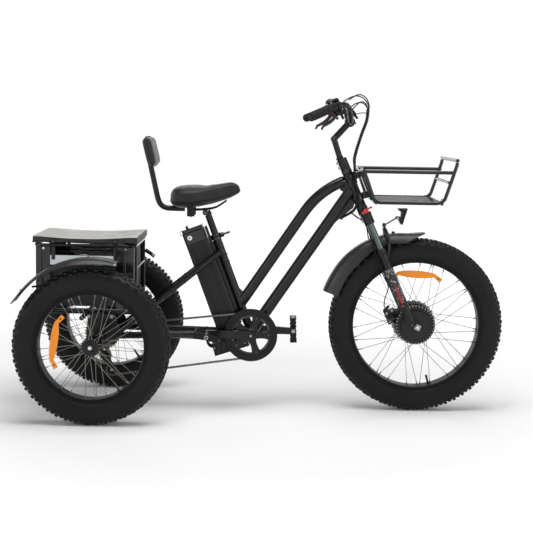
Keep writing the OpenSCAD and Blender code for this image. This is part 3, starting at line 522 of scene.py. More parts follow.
def spline(points, steps=6, closed=False):
    """A smooth line through the points."""
    p = [Vector(q) for q in points]
    n = len(p)
    out = []
    for i in range(n if closed else n - 1):
        a, b = (p[i - 1], p[i]) if closed else (p[max(i - 1, 0)], p[i])
        c, d = (p[(i + 1) % n], p[(i + 2) % n]) if closed else (p[i + 1], p[min(i + 2, n - 1)])
        for k in range(steps):
            t = k / steps
            out.append(0.5 * (2 * b + (c - a) * t + (2 * a - 5 * b + 4 * c - d) * t * t
                              + (3 * b - a - 3 * c + d) * t ** 3))
    return out if closed else out + [p[-1]]


def grid(rows, columns, start=0):
    """The faces of a sheet of rows by columns cells whose points run along the columns first."""
    row = columns + 1
    corners = (start + i * row + j for i in range(rows) for j in range(columns))
    return [[a, a + 1, a + row + 1, a + row] for a in corners]


def rim_of(rows, columns):
    """The points round the edge of such a sheet, in order."""
    row = columns + 1
    edge = ([(0, j) for j in range(columns)] + [(i, columns) for i in range(rows)]
            + [(rows, j) for j in range(columns, 0, -1)] + [(i, 0) for i in range(rows, 0, -1)])
    return [i * row + j for i, j in edge]


def joined(a, b):
    """The faces between two closed rows of points of the same length."""
    return [[a[k - 1], a[k], b[k], b[k - 1]] for k in range(len(a))]


def skin(rows, sides):
    """The faces of a closed form of so many rows of points, with an end face at each end."""
    rings = [list(range(i * sides, (i + 1) * sides)) for i in range(rows)]
    return [f for a, b in zip(rings, rings[1:]) for f in joined(a, b)] + [rings[0][::-1], rings[-1]]


def hexagon(r):
    return [polar(r, k * math.pi / 3) for k in range(6)]


def arc(centre, r, start, turn, count):
    return [Vector((*centre, 0)) + polar(r, math.radians(start + turn * k / count)) for k in range(count + 1)]


def slab(a, b, ra, rb, count=10):
    """Outline of an arm with round ends of two sizes."""
    a, b = (Vector((p[0], p[1], 0)) for p in (a, b))
    d = b - a
    turn, tilt = math.atan2(d[1], d[0]), math.acos(max(-1, min(1, (ra - rb) / d.length)))
    ends = ((a, ra, turn + tilt, 2 * math.pi - 2 * tilt), (b, rb, turn - tilt, 2 * tilt))
    return [at + polar(r, start + sweep * k / count) for at, r, start, sweep in ends for k in range(count + 1)]


# ---------------------------------------------------------------- CAD nodes that stay

FINISHES = {
    PAINT: "main_frame rear_frame",
    RIM: "front_rim left_rim right_rim",
    METAL: "battery_rail fork_crown stem handlebar fork_lowers brake_caliper "
           "hub_motor left_hub right_hub crank_arms backrest_tube derailleur brake_lever_left brake_lever_right "
           "light_bracket seat_lever seat_collar",
    GLOSS: "front_rack basket_frame",
    PLASTIC: "controller_box display lever_mounts shift_lever bell_lever pedal_left pedal_right "
             "guide_pulley tension_pulley headlight",
    DARK_STEEL: "bearings front_axle left_shaft right_shaft",
    DARK_SPOKE: "front_spokes",
    STANCHION: "stanchions",
    RED: "lockout_caps",
    GOLD: "cassette",
    SHELL: "battery",
}


def finish_node(node, *materials):
    node.data.materials.clear()
    for material in materials:
        node.data.materials.append(material)
    node.data.shade_smooth()
    node.data.set_sharp_from_angle(angle=math.radians(42))


for finish, names in FINISHES.items():
    for name in names.split():
        finish_node(frame["nodes"][name], finish)

# ---------------------------------------------------------------- wheels


def knob(shape, wheel, turn, r, y, tilt, size, height):
    """One tread block, from a base at radius r and offset y, leaning outwards by tilt."""
    length, width = size
    a, t = math.radians(turn), math.radians(tilt)
    radial, along = polar(1, a), polar(1, a + math.pi / 2)
    axle = Vector((0, 0, 1))
    out = radial * math.cos(t) + axle * math.sin(t)
    side = axle * math.cos(t) - radial * math.sin(t)
    base = radial * r + axle * y - out * 0.002
    place = wheel @ basis(along, side, out, base)
    lower = [(i * length / 2, j * width / 2, 0) for i, j in ((-1, -1), (1, -1), (1, 1), (-1, 1))]
    upper = [(x * 0.78, w * 0.78, height + 0.002) for x, w, _ in lower]
    rim = [(x * 0.94, w * 0.94, height + 0.0005) for x, w, _ in lower]
    shape.add(lower + rim + upper, skin(3, 4)[:-2] + [[8, 9, 10, 11]], place)


# rows of tread blocks: part of a pitch ahead, depth under the crown, offset, lean in degrees, size, height
KNOB_ROWS = ((0, 0.0075, 0.0085, 4, (0.0150, 0.0125), 0.0072), (0.5, 0.0085, 0.0245, 14, (0.0140, 0.0120), 0.0072),
             (0, 0.0165, 0.0375, 36, (0.0150, 0.0115), 0.0072), (0.5, 0.0245, 0.0432, 55, (0.0110, 0.0080), 0.0034))


def make_tyre(side, centre, r, bead, pitches, body, node):
    wheel = wheel_frame(centre)
    rubber = tyre_rubber(f"tyre_rubber_{side}", bead, r)
    shape = Shape(rubber)
    drop = r - bead
    # the bead in metres, then the sidewall and the crown as shares of the casing's depth, each with its half width
    half = [(bead + d, w) for d, w in ((0.002, 0.0340), (0.006, 0.0392), (0.010, 0.0400), (0.0115, 0.0418),
                                       (0.016, 0.0440))]
    half += [(bead + t * drop, w) for t, w in (
        (0.26, 0.0470), (0.38, 0.0491), (0.52, 0.0497), (0.64, 0.0488), (0.74, 0.0462), (0.82, 0.0415),
        (0.875, 0.0350), (0.905, 0.0265), (0.922, 0.0160), (0.93, 0.0055))]
    profile = half + [(q, -w) for q, w in reversed(half)] + [half[0]]
    shape.lathe(profile, wheel, 132)
    step = 360 / pitches
    for k in range(pitches):
        for s in (-1, 1):
            lead = 0 if s > 0 else 0.5
            for ahead, below, y, tilt, size, height in KNOB_ROWS:
                knob(shape, wheel, (k + lead + ahead) * step, r - below, s * y, s * tilt, size, height)
    shape.build(f"{side}_tyre_tread", body, 30, "tyre_rubber", node, place=wheel)


def make_nipples(side, centre, flange, offset, bead, body, finish):
    """Nipples at the rim ends of the spokes, on the lines that the spokes take."""
    wheel = wheel_frame(centre)
    shape = Shape(finish)
    lean = math.radians(24)
    for i in range(18):
        for s in (-1, 1):
            a = math.radians(i * 20 + (0 if s > 0 else 10))
            way = 1 if i % 2 == 0 else -1
            b = a + way * lean
            hub = polar(flange, a, s * (offset + way * 0.0016))
            rim = polar(bead - 0.005, b, s * (0.006 + way * 0.0016))
            d = (rim - hub).normalized()
            shape.tube([rim - d * 0.015, rim - d * 0.013, rim - d * 0.002, rim + d * 0.0005],
                       [0.0014, 0.0021, 0.0021, 0.0028], 8, place=wheel)
    shape.build(f"{side}_nipples", body, 40, "black_metal" if finish is METAL else "bare_steel", place=wheel)


def make_valve(side, centre, bead, turn, body):
    wheel = wheel_frame(centre)
    inward = -polar(1, math.radians(turn))
    foot = -inward * (bead - 0.0055)
    shape = Shape(CABLE)
    place = wheel @ facing(foot, inward, (0, 0, 1))
    shape.lathe([(0, 0), (0.0058, 0), (0.0052, 0.004), (0.0042, 0.010), (0.0040, 0.024), (0.0046, 0.025),
                 (0.0046, 0.034), (0.0038, 0.036), (0, 0.036)], place, 20)
    shape.build(f"{side}_valve", body, 40, "cable_black")


def make_reflector(side, centre, reach, turn, body, away, slide=0.0):
    """A long reflector across the spokes, with a clip bent towards the hub at each end."""
    wheel = wheel_frame(centre)
    a = math.radians(turn)
    place = wheel @ basis(Vector((-math.sin(a), math.cos(a), 0)), Vector((-math.cos(a), -math.sin(a), 0)),
                          Vector((0, 0, 1)), polar(reach, a, away))
    place = place @ shift(slide, 0, 0)
    shape = Shape(ORANGE)
    length, width = 0.077, 0.0145
    outline = []
    for k in range(-10, 11):
        t = k / 10
        outline.append((length * t, -width * (1 - 0.62 * abs(t) ** 2.6)))
    outline += [(x, -y) for x, y in reversed(outline)]
    shape.prism(outline, -0.004, 0.0045, place, inset=0.0018)
    for s in (-1, 1):
        hinge = (s * 0.073, 0.002)
        tip = (s * 0.099, 0.021)
        d = (Vector(tip) - Vector(hinge)).normalized()
        w = Vector((-d[1], d[0])) * 0.0090
        hinge_v, tip_v = Vector(hinge), Vector(tip)
        shape.prism([hinge_v - w * 0.8, tip_v - w, tip_v + w, hinge_v + w * 0.8][::s], -0.003, 0.0035, place,
                    inset=0.001)
        shape.lathe([(0, 0.0034), (0.0036, 0.0034), (0.0032, 0.0048), (0, 0.0048)],
                    place @ Matrix.Translation((*(hinge_v + d * 0.018), 0)), 14, GLASSY)
    shape.build(f"{side}_reflector", body, 30, "orange_lens", place=place)


for side, centre, r, bead, pitches, body in (
        ("front", FRONT, 0.345, 0.2535, 56, "front_wheel"),
        ("left", LEFT, 0.295, 0.203, 48, "left_wheel"),
        ("right", RIGHT, 0.295, 0.203, 48, "right_wheel")):
    make_tyre(side, centre, r, bead, pitches, body, f"{side}_tyre")
    if side == "front":
        make_nipples(side, centre, 0.0786, 0.025, bead, body, METAL)
        make_valve(side, centre, bead, -76, body)
        make_reflector(side, centre, 0.201, 87, body, 0.016, 0.011)
    else:
        away = 0.020 if side == "right" else -0.020
        make_nipples(side, centre, 0.0366, 0.032, bead, body, SPOKE)
        make_valve(side, centre, bead, -58, body)
        make_reflector(side, centre, 0.138 if side == "right" else 0.150, 172 if side == "right" else 0, body, away)


def hub_parts(side, centre, body):
    """The dust cap, spoke heads and axle end of one rear hub, and the steel of its spokes."""
    wheel = wheel_frame(centre)
    out = -1 if side == "left" else 1
    outward = wheel @ Matrix.Diagonal((1, 1, out, 1))
    shape = Shape(METAL)
    shape.lathe([(0.0110, 0.034), (0.0290, 0.034), (0.0300, 0.0352), (0.0290, 0.0372), (0.0180, 0.0400),
                 (0.0175, 0.0440), (0.0110, 0.0440), (0.0110, 0.034)], outward, 40)
    for k in range(18):
        a = math.radians(k * 20 + (0 if out > 0 else 10))
        shape.lathe([(0, 0.0340), (0.0022, 0.0340), (0.0019, 0.0358), (0, 0.0362)],
                    outward @ Matrix.Translation(polar(0.0325, a)), 8, SPOKE)
    low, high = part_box(f"{side}_shaft")
    end = max(abs(low[1]), abs(high[1])) - abs(centre[1])
    shape.lathe([(0, end), (0.0074, end), (0.0068, end + 0.0014), (0.0042, end + 0.0022), (0, end + 0.0022)],
                outward, 18, ALLOY)
    shape.build(f"{side}_hub_caps", body, 30, "black_metal")
    # the hub's CAD node holds its spokes: faces beyond the flange are theirs
    node, local = frame["nodes"][f"{side}_hub"], wheel.inverted()
    node.data.materials.append(SPOKE)
    for p in node.data.polygons:
        if (local @ p.center).xy.length > 0.0364:
            p.material_index = 1


hub_parts("left", LEFT, "left_wheel")
hub_parts("right", RIGHT, "right_wheel")


# ---------------------------------------------------------------- front hub motor, rotor and caliper

motor = Shape(METAL)
front_wheel = wheel_frame(FRONT)
for k in range(36):
    a = math.radians(10 * k)
    motor.lathe([(0, 0.0268), (0.0026, 0.0268), (0.0022, 0.0288), (0, 0.0291)],
                front_wheel @ Matrix.Translation(polar(0.0745, a)), 8, STEEL)
for k in range(12):
    a = math.radians(30 * k)
    motor.bolt(front_wheel @ polar(0.066, a, 0.0298), (0, -1, 0), 0.003, 0.003, DARK_STEEL, washer=False)
motor.lathe([(0.0225, 0.0379), (0.0570, 0.0379), (0.0578, 0.0392), (0.0560, 0.0408), (0.0500, 0.0418),
             (0.0490, 0.0404), (0.0300, 0.0420), (0.0240, 0.0440), (0.0225, 0.0440), (0.0225, 0.0379)],
            front_wheel, 64, GLASSY)
motor.build("motor_cover", "front_wheel", 30, "black_metal", place=front_wheel)

rotor = Shape(STEEL)
waves, per_wave, t = 24, 8, 0.0008
rings_out, rings_in = [], []
for k in range(waves * per_wave):
    a = 2 * math.pi * k / (waves * per_wave)
    rings_out.append(polar(0.0865 + 0.0034 * math.cos(waves * a), a))
    rings_in.append(polar(0.0700 + 0.0026 * math.cos(waves * a + 0.4), a))
rotor_at = wheel_frame(FRONT + Vector((0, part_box("brake_rotor")[0][1] - FRONT[1] + 0.001, 0)))
rotor.flat_ring(rings_out, rings_in, -t, t, rotor_at)
for k in range(6):
    a = math.radians(60 * k)
    b = a + math.radians(24)
    rotor.prism(slab(polar(0.024, a), polar(0.071, b), 0.0055, 0.0045, 6), -t, t, rotor_at)
    rotor.bolt(rotor_at @ polar(0.022, a, t), (0, -1, 0), 0.0032, 0.003)
    rotor.lathe([(0, -t), (0.0034, -t), (0.0034, -t - 0.00015), (0, -t - 0.00015)],
                rotor_at @ Matrix.Translation(polar(0.022, a)), 10, GLASSY)
rotor.ring(0.0165, 0.0290, -t, t, rotor_at, 40)
for k in range(48):
    a = math.radians(7.5 * k)
    for r, size in ((0.0760 + 0.002 * (k % 2), 0.0024), (0.0815 + 0.002 * (k % 2), 0.0024)):
        for side in (-1, 1):
            place = rotor_at @ Matrix.Translation(polar(r, a + 0.02, side * (t - 0.0001)))
            rotor.lathe([(0, 0), (size, 0), (size, side * 0.00025), (0, side * 0.00025)], place, 10, GLASSY)
rotor.build("vented_rotor", "front_wheel", 30, "bare_steel", "brake_rotor", place=rotor_at)

caliper = Shape(METAL)
for x, z in ((-0.070, -0.478), (-0.070, -0.442), (-0.046, -0.440)):
    caliper.bolt(HEAD @ Vector((x, 0.0438, z)), HEAD.to_3x3() @ Vector((0, -1, 0)), 0.0036, 0.004, STEEL)
caliper.lathe([(0, 0), (0.0125, 0), (0.0125, 0.004), (0.0105, 0.006), (0, 0.006)],
              HEAD @ facing((-0.058, 0.0440, -0.460), (0, -1, 0)), 28, METAL)
caliper.prism(slab((-0.073, -0.430), (-0.052, -0.420), 0.007, 0.005), -0.058, -0.050, HEAD @ SIDE_VIEW, METAL, 0.001)
caliper.lathe([(0, 0), (0.0050, 0), (0.0050, 0.008), (0.0034, 0.010), (0.0034, 0.022), (0, 0.022)],
              HEAD @ facing((-0.068, 0.055, -0.432), (0.1, 0, 1)), 18, STEEL)
caliper.build("caliper_fittings", "fork", 35, "black_metal")

# ---------------------------------------------------------------- fork legs

# the place of a fork leg in the steering's frame
LEG_X, LEG_Y = 0.002, 0.076


def leg_frame(side, z=0.0):
    """The fork's frame at the middle of one leg."""
    return HEAD @ shift(LEG_X, side * LEG_Y, z)


fork = Shape(METAL)
for s in (-1, 1):
    # dust seal and the ring under it
    fork.lathe([(0.0142, -0.1775), (0.0176, -0.1775), (0.0182, -0.180), (0.0182, -0.184), (0.0172, -0.186),
                (0.0172, -0.190), (0.0192, -0.192), (0.0192, -0.199), (0.0186, -0.202), (0.0142, -0.202),
                (0.0142, -0.1775)], leg_frame(s), 40, BUFFER)
    # pattern sleeve down the leg
    fork.lathe([(0.0170, -0.405), (0.0173, -0.404), (0.0173, -0.262), (0.0170, -0.261)], leg_frame(s), 48, DECAL)
    fork.bolt(leg_frame(s, -0.5002).translation, HEAD.to_3x3() @ Vector((0, 0, -1)), 0.005, 0.005, STEEL)
fork.build("leg_sleeves", "fork", 35, "black_metal", place=HEAD)

web = Shape(PAINT)
web.prism([(0.280, 0.884), (0.289, 0.872), (0.303, 0.866), (0.325, 0.880), (0.318, 0.915), (0.293, 0.906)],
          -0.013, 0.013, SIDE_VIEW, PAINT, 0.0015)
web.build("head_web", "frame", 35, "black_metal")

stripes = Shape(STRIPE)
for s in (-1, 1):
    verts, faces = [], []
    rows, columns = 14, 5
    for i in range(rows + 1):
        z = -0.322 - 0.080 * i / rows
        for j in range(columns + 1):
            a = math.radians(-118 + (27 + 13 * i / rows) * j / columns) * -s
            for r in (0.01712, 0.01755):
                verts.append(Vector((LEG_X, s * LEG_Y, 0)) + polar(r, a, z))
    for i in range(rows):
        for j in range(columns):
            a, b = 2 * (i * (columns + 1) + j), 2 * ((i + 1) * (columns + 1) + j)
            faces.append([a + 1, a + 3, b + 3, b + 1])
            faces.append([a, b, b + 2, a + 2])
    for i in range(rows):
        a, b = 2 * i * (columns + 1), 2 * (i + 1) * (columns + 1)
        faces.append([a, a + 1, b + 1, b])
        a, b = a + 2 * columns, b + 2 * columns
        faces.append([a, b, b + 1, a + 1])
    for j in range(columns):
        a, b = 2 * j, 2 * (rows * (columns + 1) + j)
        faces.append([a, a + 2, a + 3, a + 1])
        faces.append([b, b + 1, b + 3, b + 2])
    stripes.add(verts, faces, HEAD)
    patch = HEAD @ facing((LEG_X - 0.0172 * 0.35, s * (LEG_Y + 0.0163), -0.4165), (-0.35, s * 0.94, 0))
    stripes.block((-0.005, -0.005, -0.001), (0.005, 0.005, 0.0012), patch, inset=0.0003)
stripes.build("leg_stripes", "fork", 35, "red_plastic")

crown = Shape(METAL)
for s in (-1, 1):
    crown.lathe([(0.0148, -0.024), (0.0212, -0.024), (0.0216, -0.027), (0.0216, -0.034), (0.0148, -0.034),
                 (0.0148, -0.024)], leg_frame(s), 36)
    crown.lathe([(0, -0.0149), (0.0062, -0.0149), (0.0062, -0.0115), (0.0052, -0.0105), (0, -0.0105)],
                leg_frame(s), 6, RED)
crown.prism(slab((0.006, 0), (0.030, 0.004), 0.0055, 0.0035), -0.0150, -0.0085,
            leg_frame(-1), RED, 0.001)
crown.lathe([(0.0205, 0.1482), (0.0215, 0.1500), (0.0198, 0.1525), (0.0160, 0.1525), (0.0160, 0.1482),
             (0.0205, 0.1482)], HEAD, 40, BUFFER)
crown.build("crown_caps", "steering", 35, "red_plastic")

axle_ends = Shape(STEEL)
for s in (-1, 1):
    place = facing(FRONT + Vector((0, s * 0.0882, 0)), (0, s, 0), (1, 0, 0))
    axle_ends.prism(hexagon(0.0090), 0, 0.0085, place, inset=0.0008)
    axle_ends.lathe([(0, 0.0085), (0.0058, 0.0085), (0.0056, 0.0120), (0, 0.0130)], place, 24, ALLOY)
    axle_ends.prism([(-0.009, -0.011), (0.013, -0.011), (0.013, 0.011), (-0.009, 0.011)], -0.0012, 0.0008,
                    place @ Matrix.Rotation(math.radians(26) * s, 4, "Z"), inset=0.0004)
axle_ends.build("axle_nuts", "fork", 30, "bare_steel")

# ---------------------------------------------------------------- mudguards

# a mudguard's radius and half width, before its tip and tail
GUARD_R, GUARD_HALF = 0.3335, 0.0555

def guard_blade(shape, at, radius, start, turn, half, skirt):
    """A blade bent round a wheel. radius, half width and skirt depth are functions of the way along, 0 to 1."""
    steps, across, thick = 44, 12, 0.0022
    verts, edges = [], ([], [])
    for layer in (0, 1):
        for i in range(steps + 1):
            t = i / steps
            a = math.radians(start + turn * t)
            for j in range(across + 1):
                v = 2 * j / across - 1
                drop = abs(v) ** 3.2
                r = radius(t) - skirt(t) * drop - thick * layer
                y = math.copysign(abs(v) ** 0.85 * half(t) - thick * layer * drop, v)
                verts.append(at + Vector((r * math.cos(a), y, r * math.sin(a))))
                if layer == 0 and j in (0, across):
                    edges[j > 0].append(verts[-1])
    sheet, edge = (steps + 1) * (across + 1), rim_of(steps, across)
    shape.add(verts, grid(steps, across) + grid(steps, across, sheet) + joined(edge, [sheet + i for i in edge]))
    for line in edges:
        shape.tube(line, 0.0015, 8)


def make_front_guard():
    """A blade that follows the tyre, with a pointed lifted tip ahead and a flared tail behind."""
    def tip(t):
        return max(0.0, 1 - t / 0.14)

    def tail(t):
        return max(0.0, (t - 0.80) / 0.20)

    def near(t):
        return max(0.0, (t - 0.32) / 0.68) ** 1.3

    def radius(t):
        return GUARD_R + 0.0165 * tip(t) ** 1.5 - 0.0150 * near(t) + 0.0045 * tail(t) ** 2

    def skirt(t):
        return 0.0345 * (1 - 0.92 * tip(t) ** 0.9) * (1 + 0.62 * min(1.0, 3.0 * near(t)) + 0.10 * tail(t))
    shape = Shape(GUARD)
    guard_blade(shape, mm(533, 0, 375), radius, 75.0, 86.8, lambda t: GUARD_HALF * (1 - 0.34 * tip(t) ** 1.5), skirt)
    shape.tube([mm(500, 0, 702), mm(500, 0, 712)], 0.0065, 20, METAL)
    shape.bolt(mm(500, 0, 711), (0, 0, 1), 0.0045, 0.004, DARK_STEEL)
    shape.build("front_guard_blade", "fork", 50, "guard_plastic", "front_mudguard")


def make_rear_guards():
    """Two shallow blades whose edges fade out towards the rear."""
    shape = Shape(GUARD)
    for centre in (LEFT, RIGHT):
        guard_blade(shape, centre, lambda t: GUARD_R, 73, 78, lambda t: GUARD_HALF,
                    lambda t: 0.0205 * (1 - max(0.0, t - 0.28) / 0.72) ** 0.9 * min(1.0, 0.55 + t * 2.2) + 0.0012)
        for angle in (92, 142):
            way = SIDE_VIEW @ polar(1, math.radians(angle))
            shape.bolt(centre + way * GUARD_R, way, 0.0045, 0.004, DARK_STEEL)
        shape.bolt(centre + Vector((0.0925, -0.0555, 0.3125)), (0, -1, 0), 0.0034, 0.003, STEEL)
    shape.build("rear_guard_blades", "frame", 50, "guard_plastic", "rear_mudguards")


make_front_guard()
make_rear_guards()

# ---------------------------------------------------------------- headlight

head = Shape(PLASTIC)
head.prism([(0.5334, 0.7450), (0.5482, 0.7950), (0.5496, 0.7950), (0.5348, 0.7450)], -0.0260, 0.0260, SIDE_VIEW,
           LENS, 0.0003)
for z in (0.752, 0.7895):
    x = 0.5327 + (z - 0.742) * 0.2963
    head.block((x, -0.0285, z - 0.0012), (x + 0.0026, 0.0285, z + 0.0012), None, PLASTIC, 0.0004)
for k in range(3):
    z = 0.7750 + 0.0055 * k
    head.block((0.5285, -0.0245, z), (0.5315, 0.0245, z + 0.0030), None, PLASTIC, 0.0005)
head.bolt(pivot("lamp_tilt") + Vector((0, -0.0305, 0)), (0, -1, 0), 0.0034, 0.003, STEEL)
head.build("lamp_face", "lamp", 35, "black_plastic")

mount = Shape(METAL)
mount.bolt(mm(463, 0, 744), (0, 0, 1), 0.0038, 0.004, DARK_STEEL)
mount.bolt(mm(463, -10.2, 738), (0, -1, 0), 0.0034, 0.003, DARK_STEEL, washer=False)
mount.build("bracket_bolts", "fork", 35, "bare_steel")

# ---------------------------------------------------------------- front rack details

rack = Shape(GLOSS)
half_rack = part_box("front_rack")[1][1] - 0.013
for y in (-0.14, -0.07, 0, 0.07, 0.14):
    for x in (0.412, 0.662):
        rack.bolt((x, y, 0.8452), (0, 0, 1), 0.003, 0.0022, STEEL)
for s in (-1, 1):
    for x, z in ((0.365, 0.957), (0.4085, 0.8445), (0.691, 0.918), (0.664, 0.849), (0.703, 0.957)):
        ring = [Vector((x + 0.0073 * math.cos(a), s * (half_rack - 0.0078), z + 0.0073 * math.sin(a)))
                for a in (2 * math.pi * k / 16 for k in range(16))]
        rack.tube(ring, 0.0013, 6, closed=True)
    rack.lathe([(0, 0), (0.0068, 0), (0.0072, 0.002), (0.006, 0.005), (0, 0.006)],
               facing(Vector((0.714, s * (half_rack + 0.0058), 1.003)), (0, s, 0)), 24, CABLE)
for y in (-0.015, 0.015):
    for x, z in ((0.3705, 0.958), (0.3925, 0.900), (0.4115, 0.850)):
        rack.bolt((x + 0.004, y, z), (0.94, 0, 0.35), 0.0036, 0.0035, STEEL)
for z in (0.037, 0.129):
    for s in (-1, 1):
        rack.bolt(HEAD @ Vector((0.004, s * 0.0255, z)), (0, s, 0), 0.0034, 0.0040, DARK_STEEL, washer=False)
    strap = [HEAD @ Vector((-0.0245 * math.sin(a), 0.0245 * math.cos(a), z))
             for a in (math.pi * k / 16 for k in range(17))]
    for dz in (-0.006, 0, 0.006):
        rack.tube([p + HEAD_UP * dz for p in strap], 0.0034, 8, METAL)
rack.build("rack_fittings", "frame", 35, "black_metal")

# ---------------------------------------------------------------- handlebar controls


def add_grip(shape, side):
    place = grip_frame(side)
    start = 0.020 if side > 0 else 0.0620
    profile = [(0.0113, start), (0.0150, start), (0.0168, start + 0.002), (0.0168, start + 0.005)]
    z = start + 0.0065
    while z < 0.140:
        profile += [(0.0150, z), (0.0150, z + 0.0018), (0.0161, z + 0.0024), (0.0161, z + 0.0046)]
        z += 0.0056
    profile += [(0.0152, z), (0.0166, z + 0.0015), (0.0168, 0.1500), (0.0160, 0.1520), (0.0113, 0.1520),
                (0.0113, start)]
    shape.lathe(profile, place, 36)
    for k in range(5):
        a = math.radians(60 + 18 * k)
        line = [polar(0.01625, a, z) for z in (start + 0.012, 0.138)]
        shape.tube(line, 0.0012, 6, place=place)
    shape.lathe([(0, 0.1538), (0.0160, 0.1538), (0.0165, 0.1552), (0.0155, 0.1575), (0.0110, 0.1578),
                 (0.0100, 0.1566), (0, 0.1566)], place, 36, BUFFER)


both = Shape(GRIP)
add_grip(both, 1)
add_grip(both, -1)
both.build("ribbed_grips", "steering", 30, "grip_rubber", "grips")

twist = Shape(GRIP)
right_grip = grip_frame(-1)
profile = [(0.0118, 0.0215), (0.0160, 0.0215), (0.0170, 0.0230), (0.0170, 0.0270)]
z = 0.0285
while z < 0.055:
    profile += [(0.0156, z), (0.0156, z + 0.0012), (0.0167, z + 0.0018), (0.0167, z + 0.0036)]
    z += 0.0046
profile += [(0.0168, 0.0590), (0.0160, 0.0600), (0.0118, 0.0600), (0.0118, 0.0215)]
twist.lathe(profile, right_grip, 36)
for k in range(14):
    a = 2 * math.pi * k / 14
    twist.tube([polar(0.0164, a, z) for z in (0.0275, 0.0575)], 0.0011, 6,
               place=right_grip)
twist.build("throttle_sleeve", "throttle", 30, "grip_rubber", "throttle")


def make_lever(side, name):
    """A curved blade with a ball end, swept in the plane of its pivot."""
    place = grip_frame(side)
    line = [(0.020, -0.002), (0.026, 0.006), (0.033, 0.022), (0.040, 0.042), (0.0452, 0.068),
            (0.0472, 0.092), (0.0485, 0.112), (0.0535, 0.124), (0.0570, 0.1285)]
    shape = Shape(METAL)
    centre = spline([(0, y, z) for y, z in line], 5)
    verts, sides = [], 12
    for i, p in enumerate(centre):
        t = i / (len(centre) - 1)
        way = (centre[min(i + 1, len(centre) - 1)] - centre[max(i - 1, 0)]).normalized()
        flat = Vector((1, 0, 0))
        deep = way.cross(flat)
        wide = 0.0034 + 0.0010 * math.sin(math.pi * min(1, t * 1.1))
        thick = 0.0058 * (1 - t) ** 0.7 + 0.0032
        if t > 0.9:
            wide, thick = wide + 0.0012 * (t - 0.9) * 10, thick + 0.0012 * (t - 0.9) * 10
        for k in range(sides):
            a = 2 * math.pi * k / sides
            verts.append(p + flat * wide * math.cos(a) + deep * thick * math.sin(a))
    shape.add(verts, skin(len(centre), sides), place)
    hub = place @ facing((-0.0035, 0.026, 0.006), (1, 0, 0))
    shape.lathe([(0.0031, 0), (0.0066, 0), (0.0070, 0.0006), (0.0070, 0.0064), (0.0066, 0.0070), (0.0031, 0.0070),
                 (0.0031, 0)], hub, 28)
    shape.build(f"{name}_blade", name, 40, "black_metal", name)


make_lever(1, "brake_lever_left")
make_lever(-1, "brake_lever_right")

pods = Shape(PLASTIC)
for s in (-1, 1):
    place = grip_frame(s)
    # clamp of the brake perch with its pinch bolt, and the body that the cable enters
    pods.lathe([(0.0116, 0.001), (0.0150, 0.001), (0.0158, 0.003), (0.0158, 0.015), (0.0150, 0.017), (0.0116, 0.017),
                (0.0116, 0.001)], place, 36, METAL)
    pods.prism(slab((-0.002, 0.028), (-0.030, 0.034), 0.0085, 0.0055), -0.0068, 0.0068,
               place @ Matrix(((0, 0, 1, 0), (0, 1, 0, 0), (1, 0, 0, 0), (0, 0, 0, 1))), METAL, 0.0015)
    pods.bolt(place @ Vector((0.0072, 0.026, 0.006)), place.to_3x3() @ Vector((1, 0, 0)), 0.0034, 0.003, STEEL)
    pods.bolt(place @ Vector((0, -0.0165, 0.009)), place.to_3x3() @ Vector((0, -1, 0)), 0.003, 0.003, STEEL)
    # switch pod inboard of it
    pods.lathe([(0.0118, -0.026), (0.0168, -0.026), (0.0182, -0.0235), (0.0182, -0.0075), (0.0168, -0.005),
                (0.0118, -0.005), (0.0118, -0.026)], place, 36)
    pods.prism([(-0.0115, 0.014), (0.0115, 0.014), (0.0125, 0.020), (0.0095, 0.0275), (-0.0095, 0.0275),
                (-0.0125, 0.020)], -0.0262, -0.0058, place, PLASTIC, 0.0016)
    for k, colour in enumerate((RED if s > 0 else STEEL, BUFFER)):
        pods.lathe([(0, 0), (0.0034, 0), (0.0034, 0.0018), (0.0028, 0.0024), (0, 0.0024)],
                   place @ facing((-0.0122, 0.0205, -0.0205 + 0.009 * k), (-1, 0, 0)), 20, colour)
# bell dome on the left bar and the round gear window on the right
bell_at = grip_frame(1) @ facing((-0.004, -0.0178, -0.022), (0.25, -1, 0))
pods.lathe([(0.0150, 0.000), (0.0190, 0.001), (0.0196, 0.004), (0.0180, 0.010), (0.0120, 0.0155), (0.0040, 0.0175),
            (0, 0.0178)], bell_at, 40, GLASSY)
pods.lathe([(0, 0.0176), (0.0030, 0.0176), (0.0030, 0.0196), (0, 0.0200)], bell_at, 18, STEEL)
gear_at = right_grip @ facing((0, -0.0178, -0.016), (0.2, -1, -0.2))
pods.lathe([(0.0165, -0.004), (0.0170, 0.004), (0.0150, 0.0062), (0, 0.0066)], gear_at, 40, PLASTIC)
pods.lathe([(0, 0.0064), (0.0105, 0.0064), (0.0098, 0.0082), (0, 0.0086)], gear_at, 32, SCREEN)
pods.build("control_pods", "steering", 35, "black_plastic")

panel = Shape(PLASTIC)
panel_at = Matrix.Translation(mm(322, 0, 1186)) @ Matrix.Rotation(math.radians(-40), 4, "Y")
panel.block((-0.0086, -0.033, -0.021), (-0.0068, 0.033, 0.0215), panel_at, GLASSY, 0.0006)
panel.block((-0.0092, -0.026, -0.010), (-0.0084, 0.026, 0.0185), panel_at, SCREEN, 0.0003)
for k in (-1, 0, 1):
    panel.block((-0.0094, k * 0.018 - 0.006, -0.019), (-0.0084, k * 0.018 + 0.006, -0.0130), panel_at, BUFFER, 0.0003)
for k in range(4):
    panel.block((-0.00935, -0.020 + 0.011 * k, -0.002), (-0.0091, -0.014 + 0.011 * k, 0.010), panel_at, LENS, 0.0001)
panel.build("display_face", "steering", 35, "black_plastic")

